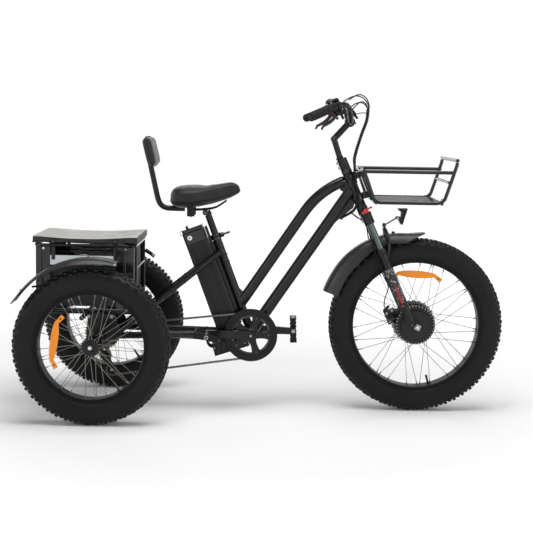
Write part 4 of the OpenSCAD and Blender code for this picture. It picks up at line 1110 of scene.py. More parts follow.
stem = Shape(METAL)
for z in (0.173, 0.193):
    stem.bolt(HEAD @ Vector((-0.0205, -0.0085, z)), (0, -1, 0), 0.0042, 0.005, STEEL)
for s in (-1, 1):
    for dz in (-0.0125, 0.0125):
        place = HEAD @ Vector((0.1035, s * 0.016, 0.324 + dz))
        stem.bolt(place, HEAD.to_3x3() @ Vector((1, 0, 0)), 0.0034, 0.0036, STEEL)
    stem.bolt(HEAD @ Vector((0.003, s * 0.0141, 0.287)), (0, s, 0), 0.0048, 0.0030, DARK_STEEL, washer=False)
    stem.lathe([(0.0100, 0), (0.0124, 0), (0.0120, 0.0010), (0.0100, 0.0012)],
               HEAD @ facing((0.003, s * 0.0140, 0.287), (0, s, 0)), 40, DARK_STEEL)
stem.block((0.1045, -0.022, 0.3232), (0.1068, 0.022, 0.3248), HEAD, STEEL, 0.0002)
stem.lathe([(0.0122, 0.206), (0.0152, 0.207), (0.0152, 0.2125), (0.0122, 0.2135)],
           HEAD @ shift(-0.005, 0, 0), 40, BUFFER)
stem.lathe([(0.0201, 0.1535), (0.0206, 0.1540), (0.0206, 0.1560), (0.0201, 0.1565)], HEAD, 40, DARK_STEEL)
stem.build("stem_bolts", "steering", 35, "bare_steel")

# ---------------------------------------------------------------- cables


def wrapped(shape, points, r, pitch, wire):
    """A bundle of leads inside a spiral wrap."""
    shape.tube(points, r - 0.0010, 14, CABLE)
    length = sum((b - a).length for a, b in zip(points, points[1:]))
    turns = max(3, int(length / pitch))
    per = 12
    ways = [(points[min(i + 1, len(points) - 1)] - points[max(i - 1, 0)]).normalized() for i in range(len(points))]
    side = Vector((0, 1, 0)) if abs(ways[0][1]) < 0.9 else Vector((1, 0, 0))
    frames = []
    for way in ways:
        side = (side - way * side.dot(way)).normalized()
        frames.append((side.copy(), way.cross(side)))
    coil = []
    for k in range(turns * per + 1):
        t = k / (turns * per) * (len(points) - 1)
        i = min(int(t), len(points) - 2)
        f = t - i
        p = points[i].lerp(points[i + 1], f)
        u = frames[i][0].lerp(frames[i + 1][0], f).normalized()
        w = frames[i][1].lerp(frames[i + 1][1], f).normalized()
        a = 2 * math.pi * k / per
        coil.append(p + (r - wire * 0.5) * (u * math.cos(a) + w * math.sin(a)))
    shape.tube(coil, wire, 6)


bars = Shape(CABLE)
bundle = spline([mm(388, 0, 1192), mm(384, 0, 1150), mm(367, 0, 1100), mm(350, 0, 1045), mm(341, -4, 1010)], 10)
wrapped(bars, bundle, 0.0068, 0.0088, 0.0020)
for s in (-1, 1):
    bars.tube(spline([mm(302, s * 176, 1226), mm(342, s * 120, 1246), mm(374, s * 60, 1236), mm(391, s * 16, 1206),
                      mm(388, s * 3, 1186)], 8), 0.0025, 10)
    bars.tube(spline([mm(306, s * 160, 1178), mm(346, s * 110, 1216), mm(372, s * 50, 1216), mm(386, s * 9, 1196),
                      mm(386, s * 2, 1180)], 8), 0.0025, 10)
    bars.lathe([(0, 0), (0.0034, 0), (0.0034, 0.012), (0.0028, 0.014), (0, 0.014)],
               facing(mm(302, s * 176, 1226), Vector((42, -s * 56, 8))), 14, STEEL)
bars.tube(spline([mm(330, -20, 1168), mm(352, -24, 1176), mm(376, -12, 1178), mm(387, -3, 1170)], 6), 0.0018, 8)
bars.build("bar_cables", "steering", 45, "cable_black", "handlebar_cables")

loom = Shape(CABLE)
path = spline([mm(338, -28, 985), mm(341, -29, 940), mm(350, -30, 880), mm(356, -30, 840), mm(342, -22, 800),
               mm(318, -10, 780), mm(288, -4, 763)], 10)
wrapped(loom, path, 0.0058, 0.0078, 0.0017)
loom.lathe([(0, -0.004), (0.0085, -0.004), (0.0085, 0.003), (0.0066, 0.006), (0, 0.006)],
           facing(mm(291, -4, 765), Vector((30, -6, 17))), 24, BUFFER)
for s in (-1, 1):
    loom.tube(spline([mm(-130, s * 10, 271), mm(-200, s * 18, 269), mm(-300, s * 24, 276), mm(-420, s * 30, 280),
                      mm(-560, s * 40, 286)], 6), 0.0025, 10)
loom.build("frame_loom", "frame", 45, "cable_black", "frame_cables")

link = Shape(CABLE)
link_path = spline([mm(341, -4, 1010), mm(339, -12, 1002), mm(338, -22, 994), mm(338, -28, 985)], 8)
wrapped(link, link_path, 0.0062, 0.0080, 0.0018)
o = link.build("loom_joint", None, 45, "cable_black")
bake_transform(o)

# brake hose and motor lead down to the fork
hose = Shape(CABLE)
hose.tube(spline([mm(330, -14, 786), mm(352, -30, 770), mm(378, -44, 758), mm(398, -50, 742)], 8), 0.0024, 10)
hose.tube(spline([mm(326, -6, 790), mm(350, 20, 772), mm(376, 36, 754), mm(396, 44, 738)], 8), 0.0024, 10)
o = hose.build("fork_leads_upper", None, 45, "cable_black")
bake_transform(o)

leads = Shape(CABLE)
for s, end in ((-1, HEAD @ Vector((-0.008, -0.090, -0.470))), (1, HEAD @ Vector((-0.068, 0.055, -0.412)))):
    start = mm(398, s * 50, 742) if s < 0 else mm(396, 44, 738)
    side = [HEAD @ Vector((-0.022, s * 0.072, z)) for z in (-0.150, -0.200, -0.250, -0.300, -0.350)]
    tail = ([HEAD @ Vector((-0.020, s * 0.082, -0.420)), end, FRONT + Vector((0.001, -0.0935, 0.006))] if s < 0
            else [HEAD @ Vector((-0.052, s * 0.062, -0.385)), end])
    leads.tube(spline([start, HEAD @ Vector((-0.012, s * 0.056, -0.100))] + side + tail, 6), 0.0024, 10)
    for z in (-0.235, -0.330):
        tie = leg_frame(s, z)
        leads.ring(0.0172, 0.0186, -0.0016, 0.0016, tie, 32, BUFFER)
o = leads.build("fork_leads_lower", None, 45, "cable_black")
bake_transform(o)

# ties round the stays and the seat tube, with their heads
ties = Shape(BUFFER)


def tie_round(a, b, r, t=0.0):
    """A cable tie round the line from a to b, at t of the way."""
    place = facing(a.lerp(b, t), b - a)
    ties.ring(r, r + 0.0014, -0.0020, 0.0020, place, 28)
    ties.block((r + 0.0008, -0.0026, -0.0030), (r + 0.0050, 0.0026, 0.0030), place)


for s in (-1, 1):
    for t in (0.12, 0.20, 0.34):
        tie_round(mm(-181, s * 54, 628), mm(-600, s * 115, 290), 0.0122, t)
    for t in (0.16, 0.30):
        tie_round(mm(-84, s * 27, 299), mm(-590, s * 115, 297), 0.0132, t)
for z in (0.330, 0.300):
    at = SEAT @ Vector((0, 0, z))
    tie_round(at, at + SEAT_UP, 0.0172)
ties.build("cable_ties", "frame", 35, "cable_black")

# ---------------------------------------------------------------- drive


CHAIN_PITCH = 0.0127


def sprocket_r(teeth):
    return CHAIN_PITCH / (2 * math.sin(math.pi / teeth))


chain_y = (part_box("chain")[0][1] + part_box("chain")[1][1]) / 2
guide, tension = pivot("guide_pulley_spin"), pivot("tension_pulley_spin")
WHEELS = [((RIGHT[0], RIGHT[2]), sprocket_r(14), -1), ((CRANK[0], CRANK[2]), sprocket_r(44), -1),
          ((tension[0], tension[2]), sprocket_r(11), -1), ((guide[0], guide[2]), sprocket_r(11), 1)]


def chain_line():
    """The pitch line of the chain round its four wheels, as close points."""
    def heading(i):
        (a, ra, sa), (b, rb, sb) = WHEELS[i], WHEELS[(i + 1) % 4]
        d = (b[0] - a[0], b[1] - a[1])
        return math.atan2(d[1], d[0]) - math.asin((sb * rb - sa * ra) / math.hypot(*d))
    out = []
    for i, (at, r, s) in enumerate(WHEELS):
        start, end = heading((i - 1) % 4) - math.pi / 2 * s, heading(i) - math.pi / 2 * s
        turn = (end - start) % (2 * math.pi) if s > 0 else -((start - end) % (2 * math.pi))
        for k in range(41):
            a = start + turn * k / 40
            out.append(Vector((at[0] + r * math.cos(a), at[1] + r * math.sin(a))))
    return out


def resample(points, spacing):
    closed = points + [points[0]]
    total = sum((b - a).length for a, b in zip(closed, closed[1:]))
    count = 2 * round(total / spacing / 2)
    step, out, reach, i = total / count, [], 0.0, 0
    walked = 0.0
    for k in range(count):
        target = k * step
        while walked + (closed[i + 1] - closed[i]).length < target:
            walked += (closed[i + 1] - closed[i]).length
            i += 1
        seg = closed[i + 1] - closed[i]
        out.append(closed[i] + seg * ((target - walked) / seg.length if seg.length else 0))
    return out


chain = Shape(CHAIN)
pins = resample(chain_line(), CHAIN_PITCH)
for i, a in enumerate(pins):
    b = pins[(i + 1) % len(pins)]
    outer = i % 2 == 0
    d = b - a
    angle = math.atan2(d[1], d[0])
    place = shift(a[0], chain_y, a[1]) @ Matrix.Rotation(-angle, 4, "Y") @ SIDE_VIEW
    length, waist, end = d.length, 0.0030, 0.0041
    shape_line = (arc((0, 0), end, 65, 230, 7) + [(length * 0.5, -waist)]
                  + arc((length, 0), end, -115, 230, 7) + [(length * 0.5, waist)])
    y0, y1 = (0.0031, 0.0043) if outer else (0.0018, 0.0029)
    for s in (-1, 1):
        chain.prism(shape_line, *sorted((s * y0, s * y1)), place)
    chain.lathe([(0, -0.0017), (0.0037, -0.0017), (0.0037, 0.0017), (0, 0.0017)], place, 10)
    chain.lathe([(0, -0.0049), (0.0017, -0.0049), (0.0017, 0.0049), (0, 0.0049)], place, 8, SPOKE)
chain.build("roller_chain", "frame", 30, "chain_steel", "chain")

ring = Shape(METAL)
crank_at = shift(CRANK[0], 0, CRANK[2]) @ SIDE_VIEW
teeth, r = 44, sprocket_r(44)
outer_line = []
for k in range(teeth):
    for part, rr in ((-0.30, r - 0.0035), (-0.10, r + 0.0026), (0.10, r + 0.0026), (0.30, r - 0.0035),
                     (0.5, r - 0.0042)):
        outer_line.append(polar(rr, 2 * math.pi * (k + part) / teeth))
count = len(outer_line)
inner_line = [polar(0.070, 2 * math.pi * (k / count) - 0.0428) for k in range(count)]
ring.flat_ring(outer_line, inner_line, 0.061, 0.063, crank_at, DARK_STEEL)
# guard ring round the chain ring, on five arms
guard_line = [(0.0782, 0.0672), (0.1035, 0.0672), (0.1048, 0.0684), (0.1048, 0.0706), (0.1030, 0.0720),
              (0.0990, 0.0716), (0.0830, 0.0716), (0.0796, 0.0720), (0.0782, 0.0706), (0.0782, 0.0672)]
ring.lathe(guard_line, crank_at, 96, PLASTIC)
for k in range(5):
    spin = crank_at @ Matrix.Rotation(math.radians(-72 * k), 4, "Z")
    arm = []
    for t in range(9):
        x = 0.020 + 0.060 * t / 8
        w = 0.0125 + 0.0150 * (abs(t / 8 - 0.35) ** 1.6)
        arm.append((x, w))
    ring.prism([(x, -w) for x, w in arm] + [(x, w) for x, w in reversed(arm)], 0.0630, 0.0712, spin, METAL, 0.0012)
    ring.bolt(spin @ Vector((0.070, 0, 0.0712)), (0, -1, 0), 0.0038, 0.0024, DARK_STEEL, washer=False)
ring.lathe([(0.0090, 0.0620), (0.0240, 0.0620), (0.0255, 0.0640), (0.0255, 0.0750), (0.0230, 0.0772),
            (0.0090, 0.0772), (0.0090, 0.0620)], crank_at, 48, METAL)
ring.build("chainring_guard", "crank", 30, "black_metal", "chainring")

CRANK_END = 0.0921
crank = Shape(METAL)
pins_at = {-1: pivot("pedal_right_spin"), 1: pivot("pedal_left_spin")}
for s in (-1, 1):
    hub_place = facing(CRANK + Vector((0, s * CRANK_END, 0)), (0, s, 0))
    crank.lathe([(0, 0), (0.0115, 0), (0.0115, 0.0012), (0.0104, 0.0022), (0.0096, 0.0012), (0.0056, 0.0010),
                 (0.0050, 0.0026), (0, 0.0030)], hub_place, 32, METAL)
    crank.lathe([(0, 0.0028), (0.0048, 0.0028), (0.0044, 0.0036), (0, 0.0038)], hub_place, 20, STEEL)
    end = Vector((pins_at[s][0], s * CRANK_END, pins_at[s][2]))
    crank.lathe([(0, -0.0145), (0.0074, -0.0145), (0.0074, 0.0004), (0.0062, 0.0012), (0, 0.0014)],
                facing(end, (0, s, 0)), 24, STEEL)
    crank.ring(0.0042, 0.0070, 0.0012, 0.0036, facing(end, (0, s, 0)), 6, STEEL)
    a, b = Vector((CRANK[0], CRANK[2])), Vector((pins_at[s][0], pins_at[s][2]))
    d = (b - a).normalized()
    crank.prism(slab(a + d * 0.034, b - d * 0.028, 0.0095, 0.0072), 0.0922, 0.0930,
                Matrix(((1, 0, 0, 0), (0, 0, s, 0), (0, 1, 0, 0), (0, 0, 0, 1))), METAL, 0.0004)
crank.build("crank_caps", "crank", 30, "bare_steel")

for s, body in ((-1, "pedal_right"), (1, "pedal_left")):
    tread = Shape(PLASTIC)
    tilt = 12 if s < 0 else 88
    place = Matrix.Translation(pins_at[s]) @ Matrix.Rotation(math.radians(tilt), 4, "Y")
    for x in (-0.0470, 0.0470):
        for k in range(9):
            y = -0.038 + 0.0095 * k
            for up_down in (-1, 1):
                tread.block((x - 0.0028, y - 0.0024, up_down * 0.0108), (x + 0.0028, y + 0.0024, up_down * 0.0136),
                            place, PLASTIC, 0.0006)
    for y in (-0.040, 0.0375):
        for x in (-0.032, -0.016, 0.016, 0.032):
            for up_down in (-1, 1):
                tread.block((x - 0.003, y - 0.0015, up_down * 0.0108), (x + 0.003, y + 0.0035, up_down * 0.0132),
                            place, PLASTIC, 0.0006)
    for x in (-0.0506, 0.0506):
        tread.block((x, -0.026, -0.0065), (x - math.copysign(0.0014, x), 0.026, 0.0065), place, AMBER, 0.0003)
    for y in (-0.0446, 0.0446):
        tread.lathe([(0, 0), (0.0085, 0), (0.0085, 0.0010), (0.0070, 0.0016), (0, 0.0016)],
                    place @ facing((0, y, 0), (0, y, 0)), 24, STEEL if y * s > 0 else PLASTIC)
    tread.build(f"{body}_tread", body, 30, "black_plastic")

gear = Shape(METAL)
gear.lathe([(0, 0), (0.0090, 0), (0.0100, 0.002), (0.0100, 0.010), (0.0080, 0.013), (0, 0.013)],
           facing(guide + Vector((0, -0.010, 0.001)), (0, -1, 0)), 28)
gear.lathe([(0, 0), (0.0105, 0), (0.0115, 0.002), (0.0115, 0.016), (0.0095, 0.019), (0, 0.019)],
           facing(mm(-650, -104, 232), (0, -1, 0)), 28)
gear.bolt(mm(-650, -124, 232), (0, -1, 0), 0.0045, 0.003, STEEL)
for at in (guide, tension):
    gear.bolt(at + Vector((0, -0.0098, 0)), (0, -1, 0), 0.0036, 0.003, STEEL)
gear.tube(spline([mm(-560, -48, 288), mm(-620, -84, 276), mm(-684, -106, 262), mm(-700, -110, 236),
                  mm(-676, -109, 222), mm(-660, -108, 226)], 6), 0.0025, 10, CABLE)
for t in (0.25, 0.5, 0.75):
    at = guide.lerp(tension, t)
    gear.lathe([(0, 0), (0.0042, 0), (0.0042, 0.0006), (0, 0.0006)], facing(at + Vector((0, -0.0082, 0)), (0, -1, 0)),
               16, GLASSY)
gear.build("gear_mech", "frame", 30, "black_metal")

# ---------------------------------------------------------------- seat


def lofted(sections, material, sides):
    """A closed form through sections of (x, half width, top, bottom), rounded across."""
    def bow(v):
        return math.copysign(abs(v) ** 0.72, v)
    shape, verts = Shape(material), []
    for x, half, top, bottom in sections:
        for k in range(sides):
            a = 2 * math.pi * k / sides
            mid, tall = (top + bottom) / 2, (top - bottom) / 2
            verts.append((x, half * bow(math.cos(a)), mid + tall * bow(math.sin(a))))
    shape.add(verts, skin(len(sections), sides))
    return shape


def make_saddle():
    sections = [(-0.381, 0.040, 0.850, 0.824), (-0.379, 0.060, 0.858, 0.812), (-0.371, 0.088, 0.870, 0.803),
                (-0.357, 0.106, 0.878, 0.797), (-0.338, 0.117, 0.882, 0.794), (-0.312, 0.122, 0.884, 0.795),
                (-0.285, 0.119, 0.885, 0.798), (-0.262, 0.109, 0.885, 0.802), (-0.242, 0.095, 0.882, 0.808),
                (-0.222, 0.077, 0.888, 0.810), (-0.204, 0.060, 0.890, 0.816), (-0.184, 0.048, 0.893, 0.823),
                (-0.164, 0.040, 0.897, 0.830), (-0.146, 0.034, 0.899, 0.837), (-0.130, 0.029, 0.896, 0.845),
                (-0.118, 0.023, 0.889, 0.852), (-0.111, 0.014, 0.880, 0.858), (-0.1095, 0.008, 0.874, 0.862)]
    shape = lofted(sections, VINYL, 32)
    # a shallow channel down the middle with a slight swell on each side of it
    for v in shape.verts:
        if v[2] > 0.862:
            channel = math.exp(-(v[1] / 0.011) ** 2) * max(0, min(1, (-0.15 - v[0]) / 0.05)) * max(
                0, min(1, (v[0] + 0.378) / 0.05))
            v[2] -= 0.0055 * channel
            swell = math.exp(-((abs(v[1]) - 0.062) / 0.030) ** 2) * max(0, min(1, (-0.235 - v[0]) / 0.05))
            v[2] += 0.0012 * swell
    o = shape.build("saddle_pad", "seat", 60, "vinyl", "saddle", subdivide=2)
    # piping round the lower edge of the cover
    trim = Shape(BUFFER)
    line = []
    for x, half, top, bottom in sections[1:-1]:
        line.append(Vector((x, half * 0.955, bottom + (top - bottom) * 0.24)))
    other = [Vector((x, -y, z)) for x, y, z in reversed(line)]
    loop = line + [Vector((-0.1085, 0, 0.8665))] + other + [Vector((-0.3815, 0, 0.832))]
    trim.tube(spline(loop, 3, closed=True), 0.0017, 8, closed=True)
    trim.bolt((-0.345, 0.045, 0.8085), (0, 0, -1), 0.004, 0.004, STEEL)
    trim.bolt((-0.345, -0.045, 0.8085), (0, 0, -1), 0.004, 0.004, STEEL)
    trim.build("saddle_piping", "seat", 50, "vinyl")


make_saddle()


def make_backrest():
    at = Matrix.Translation(mm(-460, 0, 1015)) @ Matrix.Rotation(math.radians(-14), 4, "Y")
    shape = Shape(VINYL)
    half_w, half_h, half_t = 0.119, 0.058, 0.0195
    columns, rows = 28, 16

    def spread(u, v):
        """A rounded rectangle, crowned towards the middle: its two places and the height of the dome."""
        return (u * math.sqrt(1 - 0.10 * v ** 6), v * math.sqrt(1 - 0.16 * u ** 8),
                (1 - abs(u) ** 9) ** 0.5 * (1 - abs(v) ** 7) ** 0.5)
    verts = []
    for layer in (1, -1):
        for i in range(rows + 1):
            for j in range(columns + 1):
                u, v = 2 * j / columns - 1, 2 * i / rows - 1
                x, z, dome = spread(u, v)
                groove = math.exp(-((abs(u) - 0.74) / 0.035) ** 2) + math.exp(-((abs(v) - 0.60) / 0.06) ** 2) * (
                    1 if abs(u) < 0.76 else 0)
                depth = half_t * (0.12 + 0.88 * dome) - (0.0022 * min(1.0, groove) * dome if layer > 0 else 0)
                verts.append((layer * depth, x * half_w, z * half_h))
    size = (rows + 1) * (columns + 1)
    ids = rim_of(rows, columns)
    shape.add(verts, grid(rows, columns) + grid(rows, columns, size) + joined(ids, [size + i for i in ids]), at)
    o = shape.build("backrest_cushion", "seat", 60, "vinyl", "backrest_pad", subdivide=1, place=at)
    trim = Shape(BUFFER)
    line = [at @ Vector(((verts[i][0] + verts[size + i][0]) / 2, verts[i][1] * 1.006, verts[i][2] * 1.012))
            for i in ids]
    trim.tube(line, 0.0021, 8, closed=True)
    seam = []
    for k in range(48):
        a = 2 * math.pi * k / 48
        x, z, dome = spread(math.copysign(abs(math.cos(a)) ** 0.42, math.cos(a)) * 0.74,
                            math.copysign(abs(math.sin(a)) ** 0.42, math.sin(a)) * 0.60)
        seam.append(at @ Vector((half_t * (0.12 + 0.88 * dome) - 0.0018, x * half_w, z * half_h)))
    trim.tube(seam, 0.0009, 6, closed=True)
    trim.build("backrest_piping", "seat", 50, "vinyl")


make_backrest()

under = Shape(METAL)
for s in (-1, 1):
    place = Matrix.Translation(mm(-300, s * 48, 764))
    under.lathe([(0, 0.0002), (0.0138, 0.0002), (0.0146, 0.003), (0.0146, 0.009), (0.0122, 0.012), (0.0122, 0.014),
                 (0.0146, 0.017), (0.0146, 0.022), (0.0122, 0.025), (0.0122, 0.027), (0.0146, 0.030),
                 (0.0146, 0.036), (0.0136, 0.0398), (0, 0.0398)], place, 36, BUFFER)
    under.bolt(mm(-300, s * 48, 763.8), (0, 0, -1), 0.0042, 0.004, STEEL)
    under.lathe([(0, 0), (0.0095, 0), (0.0100, 0.0015), (0.0080, 0.0045), (0, 0.0048)],
                facing(mm(-245, s * 22, 778), (0, s, 0)), 28, DARK_STEEL)
    under.prism(hexagon(0.0075), 0.0045, 0.0100, facing(mm(-245, s * 22, 778), (0, s, 0)), DARK_STEEL, 0.0006)
under.build("seat_clamp", "seat", 35, "black_metal")

# the rubber springs are part of the seatpost's CAD node: their faces are known by their place
post = frame["nodes"]["seatpost"]
finish_node(post, METAL, BUFFER)
for p in post.data.polygons:
    x, y, z = p.center
    p.material_index = int(-0.318 < x < -0.282 and 0.0325 < abs(y) < 0.0635 and z < 0.8045)

collar = Shape(DARK_STEEL)
collar.lathe([(0.0171, 0.3985), (0.0214, 0.3985), (0.0218, 0.4000), (0.0218, 0.4018), (0.0210, 0.4030)], SEAT, 48)
collar.lathe([(0.0171, 0.4175), (0.0212, 0.4160), (0.0216, 0.4172), (0.0206, 0.4188), (0.0171, 0.4188)], SEAT, 48)
collar.lathe([(0, 0), (0.0060, 0), (0.0060, 0.0040), (0.0050, 0.0050), (0, 0.0050)],
             SEAT @ facing((0.026, 0.0092, 0.408), (0, 1, 0)), 24)
collar.build("collar_rings", "frame", 35, "polished_alloy")

knob_shape = Shape(METAL)
lever_at = pivot("seat_lever_open")
lever_place = basis(SEAT.to_3x3() @ Vector((1, 0, 0)), Y_AXIS, SEAT_UP, lever_at)
knob_shape.prism(slab((0.004, 0), (0.030, 0), 0.0038, 0.0056), 0.0078, 0.0092, lever_place, METAL, 0.0004)
knob_shape.lathe([(0, 0.0080), (0.0052, 0.0080), (0.0056, 0.0094), (0.0040, 0.0110), (0, 0.0112)], lever_place, 24,
                 ALLOY)
knob_shape.build("quick_lever", "seat_lever", 35, "black_metal")

# ---------------------------------------------------------------- battery and controller

pack = Shape(GLASSY)


def rounded(x0, x1, y0, y1, r, n=5):
    out = []
    for cx, cy, a in ((x1 - r, y1 - r, 0), (x0 + r, y1 - r, 90), (x0 + r, y0 + r, 180), (x1 - r, y0 + r, 270)):
        out += arc((cx, cy), r, a, 90, n)
    return out


pack.prism(rounded(-0.1222, -0.0322, -0.0388, 0.0388, 0.010), 0.4150, 0.4605, SEAT, GLASSY, 0.0015)
pack.prism(rounded(-0.1195, -0.0345, -0.0365, 0.0365, 0.012), 0.4600, 0.4752, SEAT, GLASSY, 0.0040)
pack.prism(rounded(-0.1222, -0.0322, -0.0388, 0.0388, 0.010), 0.0610, 0.0800, SEAT, PLASTIC, 0.0015)
for s in (-1, 1):
    for x in (-0.0985, -0.0560):
        pack.block((x - 0.0012, s * 0.0379, 0.090), (x + 0.0012, s * 0.0388, 0.418), SEAT, SHELL, 0.0003)
    lock = SEAT @ facing((-0.097, s * 0.0386, 0.4400), (0, s, 0))
    pack.lathe([(0, 0), (0.0092, 0), (0.0097, 0.0008), (0.0093, 0.0018), (0.0070, 0.0020), (0, 0.0020)], lock, 32,
               ALLOY)
    pack.lathe([(0, 0.0019), (0.0030, 0.0019), (0.0028, 0.0027), (0, 0.0028)], lock, 20, GLASSY)
    pack.block((-0.0335, s * 0.0375 - 0.001, 0.085), (-0.0322, s * 0.0375 + 0.001, 0.425), SEAT, DARK_SPOKE, 0.0003)
pack.tube(spline([SEAT @ Vector(p) for p in ((-0.108, -0.030, 0.4700), (-0.114, -0.031, 0.4745),
                                             (-0.123, -0.032, 0.4760), (-0.1285, -0.033, 0.4680),
                                             (-0.1245, -0.034, 0.4590), (-0.117, -0.035, 0.4560))], 5), 0.0014, 10,
          STEEL)
pack.lathe([(0, 0), (0.0052, 0), (0.0052, 0.0022), (0.0038, 0.0030), (0, 0.0030)],
           SEAT @ facing((-0.104, -0.0386, 0.105), (0, -1, 0)), 24, BUFFER)
pack.build("battery_caps", "battery", 35, "battery_shell", place=SEAT)

backing = Shape(METAL)
backing.block((-0.0312, -0.0095, 0.070), (-0.0165, 0.0095, 0.395), SEAT, inset=0.0010)
for z in (0.10, 0.20, 0.30, 0.38):
    backing.block((-0.0316, -0.0120, z), (-0.0250, 0.0120, z + 0.012), SEAT, PLASTIC, 0.0008)
backing.build("rail_backing", "frame", 35, "black_metal")

box_low, box_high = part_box("controller_box")
fins = Shape(METAL)
for s in (-1, 1):
    y = box_high[1] if s > 0 else box_low[1]
    for k in range(6):
        x = -0.188 + 0.019 * k
        z = 0.2155 + 0.0063 * k
        fins.block((x, y, z + 0.004), (x + 0.010, y + s * 0.0012, z + 0.044), None, METAL, 0.0005)
    for x, z in ((-0.200, 0.240), (-0.080, 0.262)):
        fins.bolt((x, y, z), (0, s, 0), 0.0026, 0.0022, STEEL, washer=False)
for y in (-0.024, -0.010, 0.008, 0.022):
    fins.tube(spline([Vector((-0.206, y, 0.240)), Vector((-0.222, y, 0.246)), Vector((-0.232, y * 0.8, 0.262)),
                      Vector((-0.226, y * 0.7, 0.284)), Vector((-0.196, y * 0.6, 0.293))], 6), 0.0028, 8, CABLE)
fins.build("controller_fins", "frame", 35, "black_metal")

# ---------------------------------------------------------------- rear basket

# the basket's ends, half width, floor and the height that its cover stays under
REAR_X, FRONT_X, HALF, FLOOR_Z, COVER_TOP = -0.891, -0.496, 0.190, 0.412, 0.6955


def make_liner():
    """A sewn bag of coated cloth: floor and four sides that belly between the posts, with dipped side edges."""
    shape = Shape(LINER)
    x0, x1, half = REAR_X + 0.020, FRONT_X - 0.020, HALF - 0.014
    low = FLOOR_Z + 0.008
    outline = rounded(x0, x1, -half, half, 0.020, 4)
    # walk the outline with even steps
    dense = []
    for a, b in zip(outline, outline[1:] + outline[:1]):
        parts = max(1, round((b - a).length / 0.022))
        dense += [a.lerp(b, k / parts) for k in range(parts)]
    count = len(dense)
    rows = 14
    verts, faces = [], []
    middle = Vector(((x0 + x1) / 2, 0, 0))
    for i in range(rows + 1):
        v = i / rows
        for p in dense:
            on_side = abs(abs(p[1]) - half) < 0.004
            spread = min(1.0, max(0.0, min(p[0] - x0, x1 - p[0]) - 0.035) / 0.05) if on_side else 0
            top = 0.640 - 0.060 * (spread ** 0.6 if spread > 0 else 0)
            z = low + (top - low) * v
            out = (p - middle).normalized()
            belly = 0.006 * math.sin(math.pi * v) * (0.5 + 0.5 * math.sin(p[0] * 60 + p[1] * 44))
            ripple = 0.0016 * noise.noise(Vector((p[0] * 34, p[1] * 34, z * 16)))
            q = p - out * (0.004 - belly * 0.6 + ripple)
            verts.append((q[0], q[1], z))
    levels = [list(range(i * count, (i + 1) * count)) for i in range(rows + 1)]
    for lower, upper in zip(levels, levels[1:]):
        faces += joined(upper, lower)
    # floor as shrinking rings round a middle point
    last, rings = levels[0], 6
    for ring in range(1, rings):
        f = 1 - ring / rings
        ids = list(range(len(verts), len(verts) + count))
        for p in dense:
            q = middle + (p - middle) * f
            sag = 0.002 * noise.noise(Vector((q[0] * 20, q[1] * 20, 3)))
            verts.append((q[0], q[1], low + sag * (1 - f)))
        faces += joined(last, ids)
        last = ids
    faces += [[last[k - 1], last[k], len(verts)] for k in range(count)]
    verts.append((middle[0], middle[1], low - 0.001))
    shape.add(verts, faces)
    o = shape.build("basket_bag", "frame", 60, "liner_pvc", "basket_liner", cloth=0.0012)
    o.data.flip_normals()


make_liner()

liner_trim = Shape(HEM)
for s in (-1, 1):
    y = s * (HALF - 0.013)
    # elastic cords across each open window, and the binding tape round its edge
    for z, sag in ((0.632, 0.003), (0.618, 0.006), (0.604, 0.004)):
        liner_trim.tube([Vector((REAR_X + 0.060 + 0.262 * t / 12, y, z - sag * math.sin(math.pi * t / 12)))
                         for t in range(13)], 0.0016 if z > 0.61 else 0.0022, 8, HEM)
    liner_trim.tube(spline([Vector((REAR_X + 0.052, y, 0.638)), Vector((REAR_X + 0.060, y, 0.600)),
                            Vector((REAR_X + 0.092, y, 0.582)), Vector((REAR_X + 0.190, y, 0.578)),
                            Vector((REAR_X + 0.292, y, 0.582)), Vector((REAR_X + 0.322, y, 0.600)),
                            Vector((REAR_X + 0.330, y, 0.638))], 6), 0.0030, 8, HEM)
    # pale reflective strip along the side panel
    liner_trim.block((-0.843, s * 0.1905, 0.581), (-0.564, s * 0.1917, 0.617), None, REFLECTIVE, 0.0004)
    # wide webbing on the corner panels
    for x0, x1 in ((REAR_X + 0.014, REAR_X + 0.062), (FRONT_X - 0.076, FRONT_X - 0.014)):
        for z in (0.470, 0.540):
            liner_trim.block((x0, s * 0.1921, z), (x1, s * 0.1934, z + 0.014), None, HEM, 0.0003)
        liner_trim.bolt(Vector(((x0 + x1) / 2, s * 0.1925, 0.643)), (0, s, 0), 0.003, 0.002, ALLOY)
    liner_trim.bolt((-0.882, s * 0.1962, 0.527), (0, s, 0), 0.0045, 0.004, ALLOY)
liner_trim.build("basket_trim", "frame", 45, "liner_pvc")


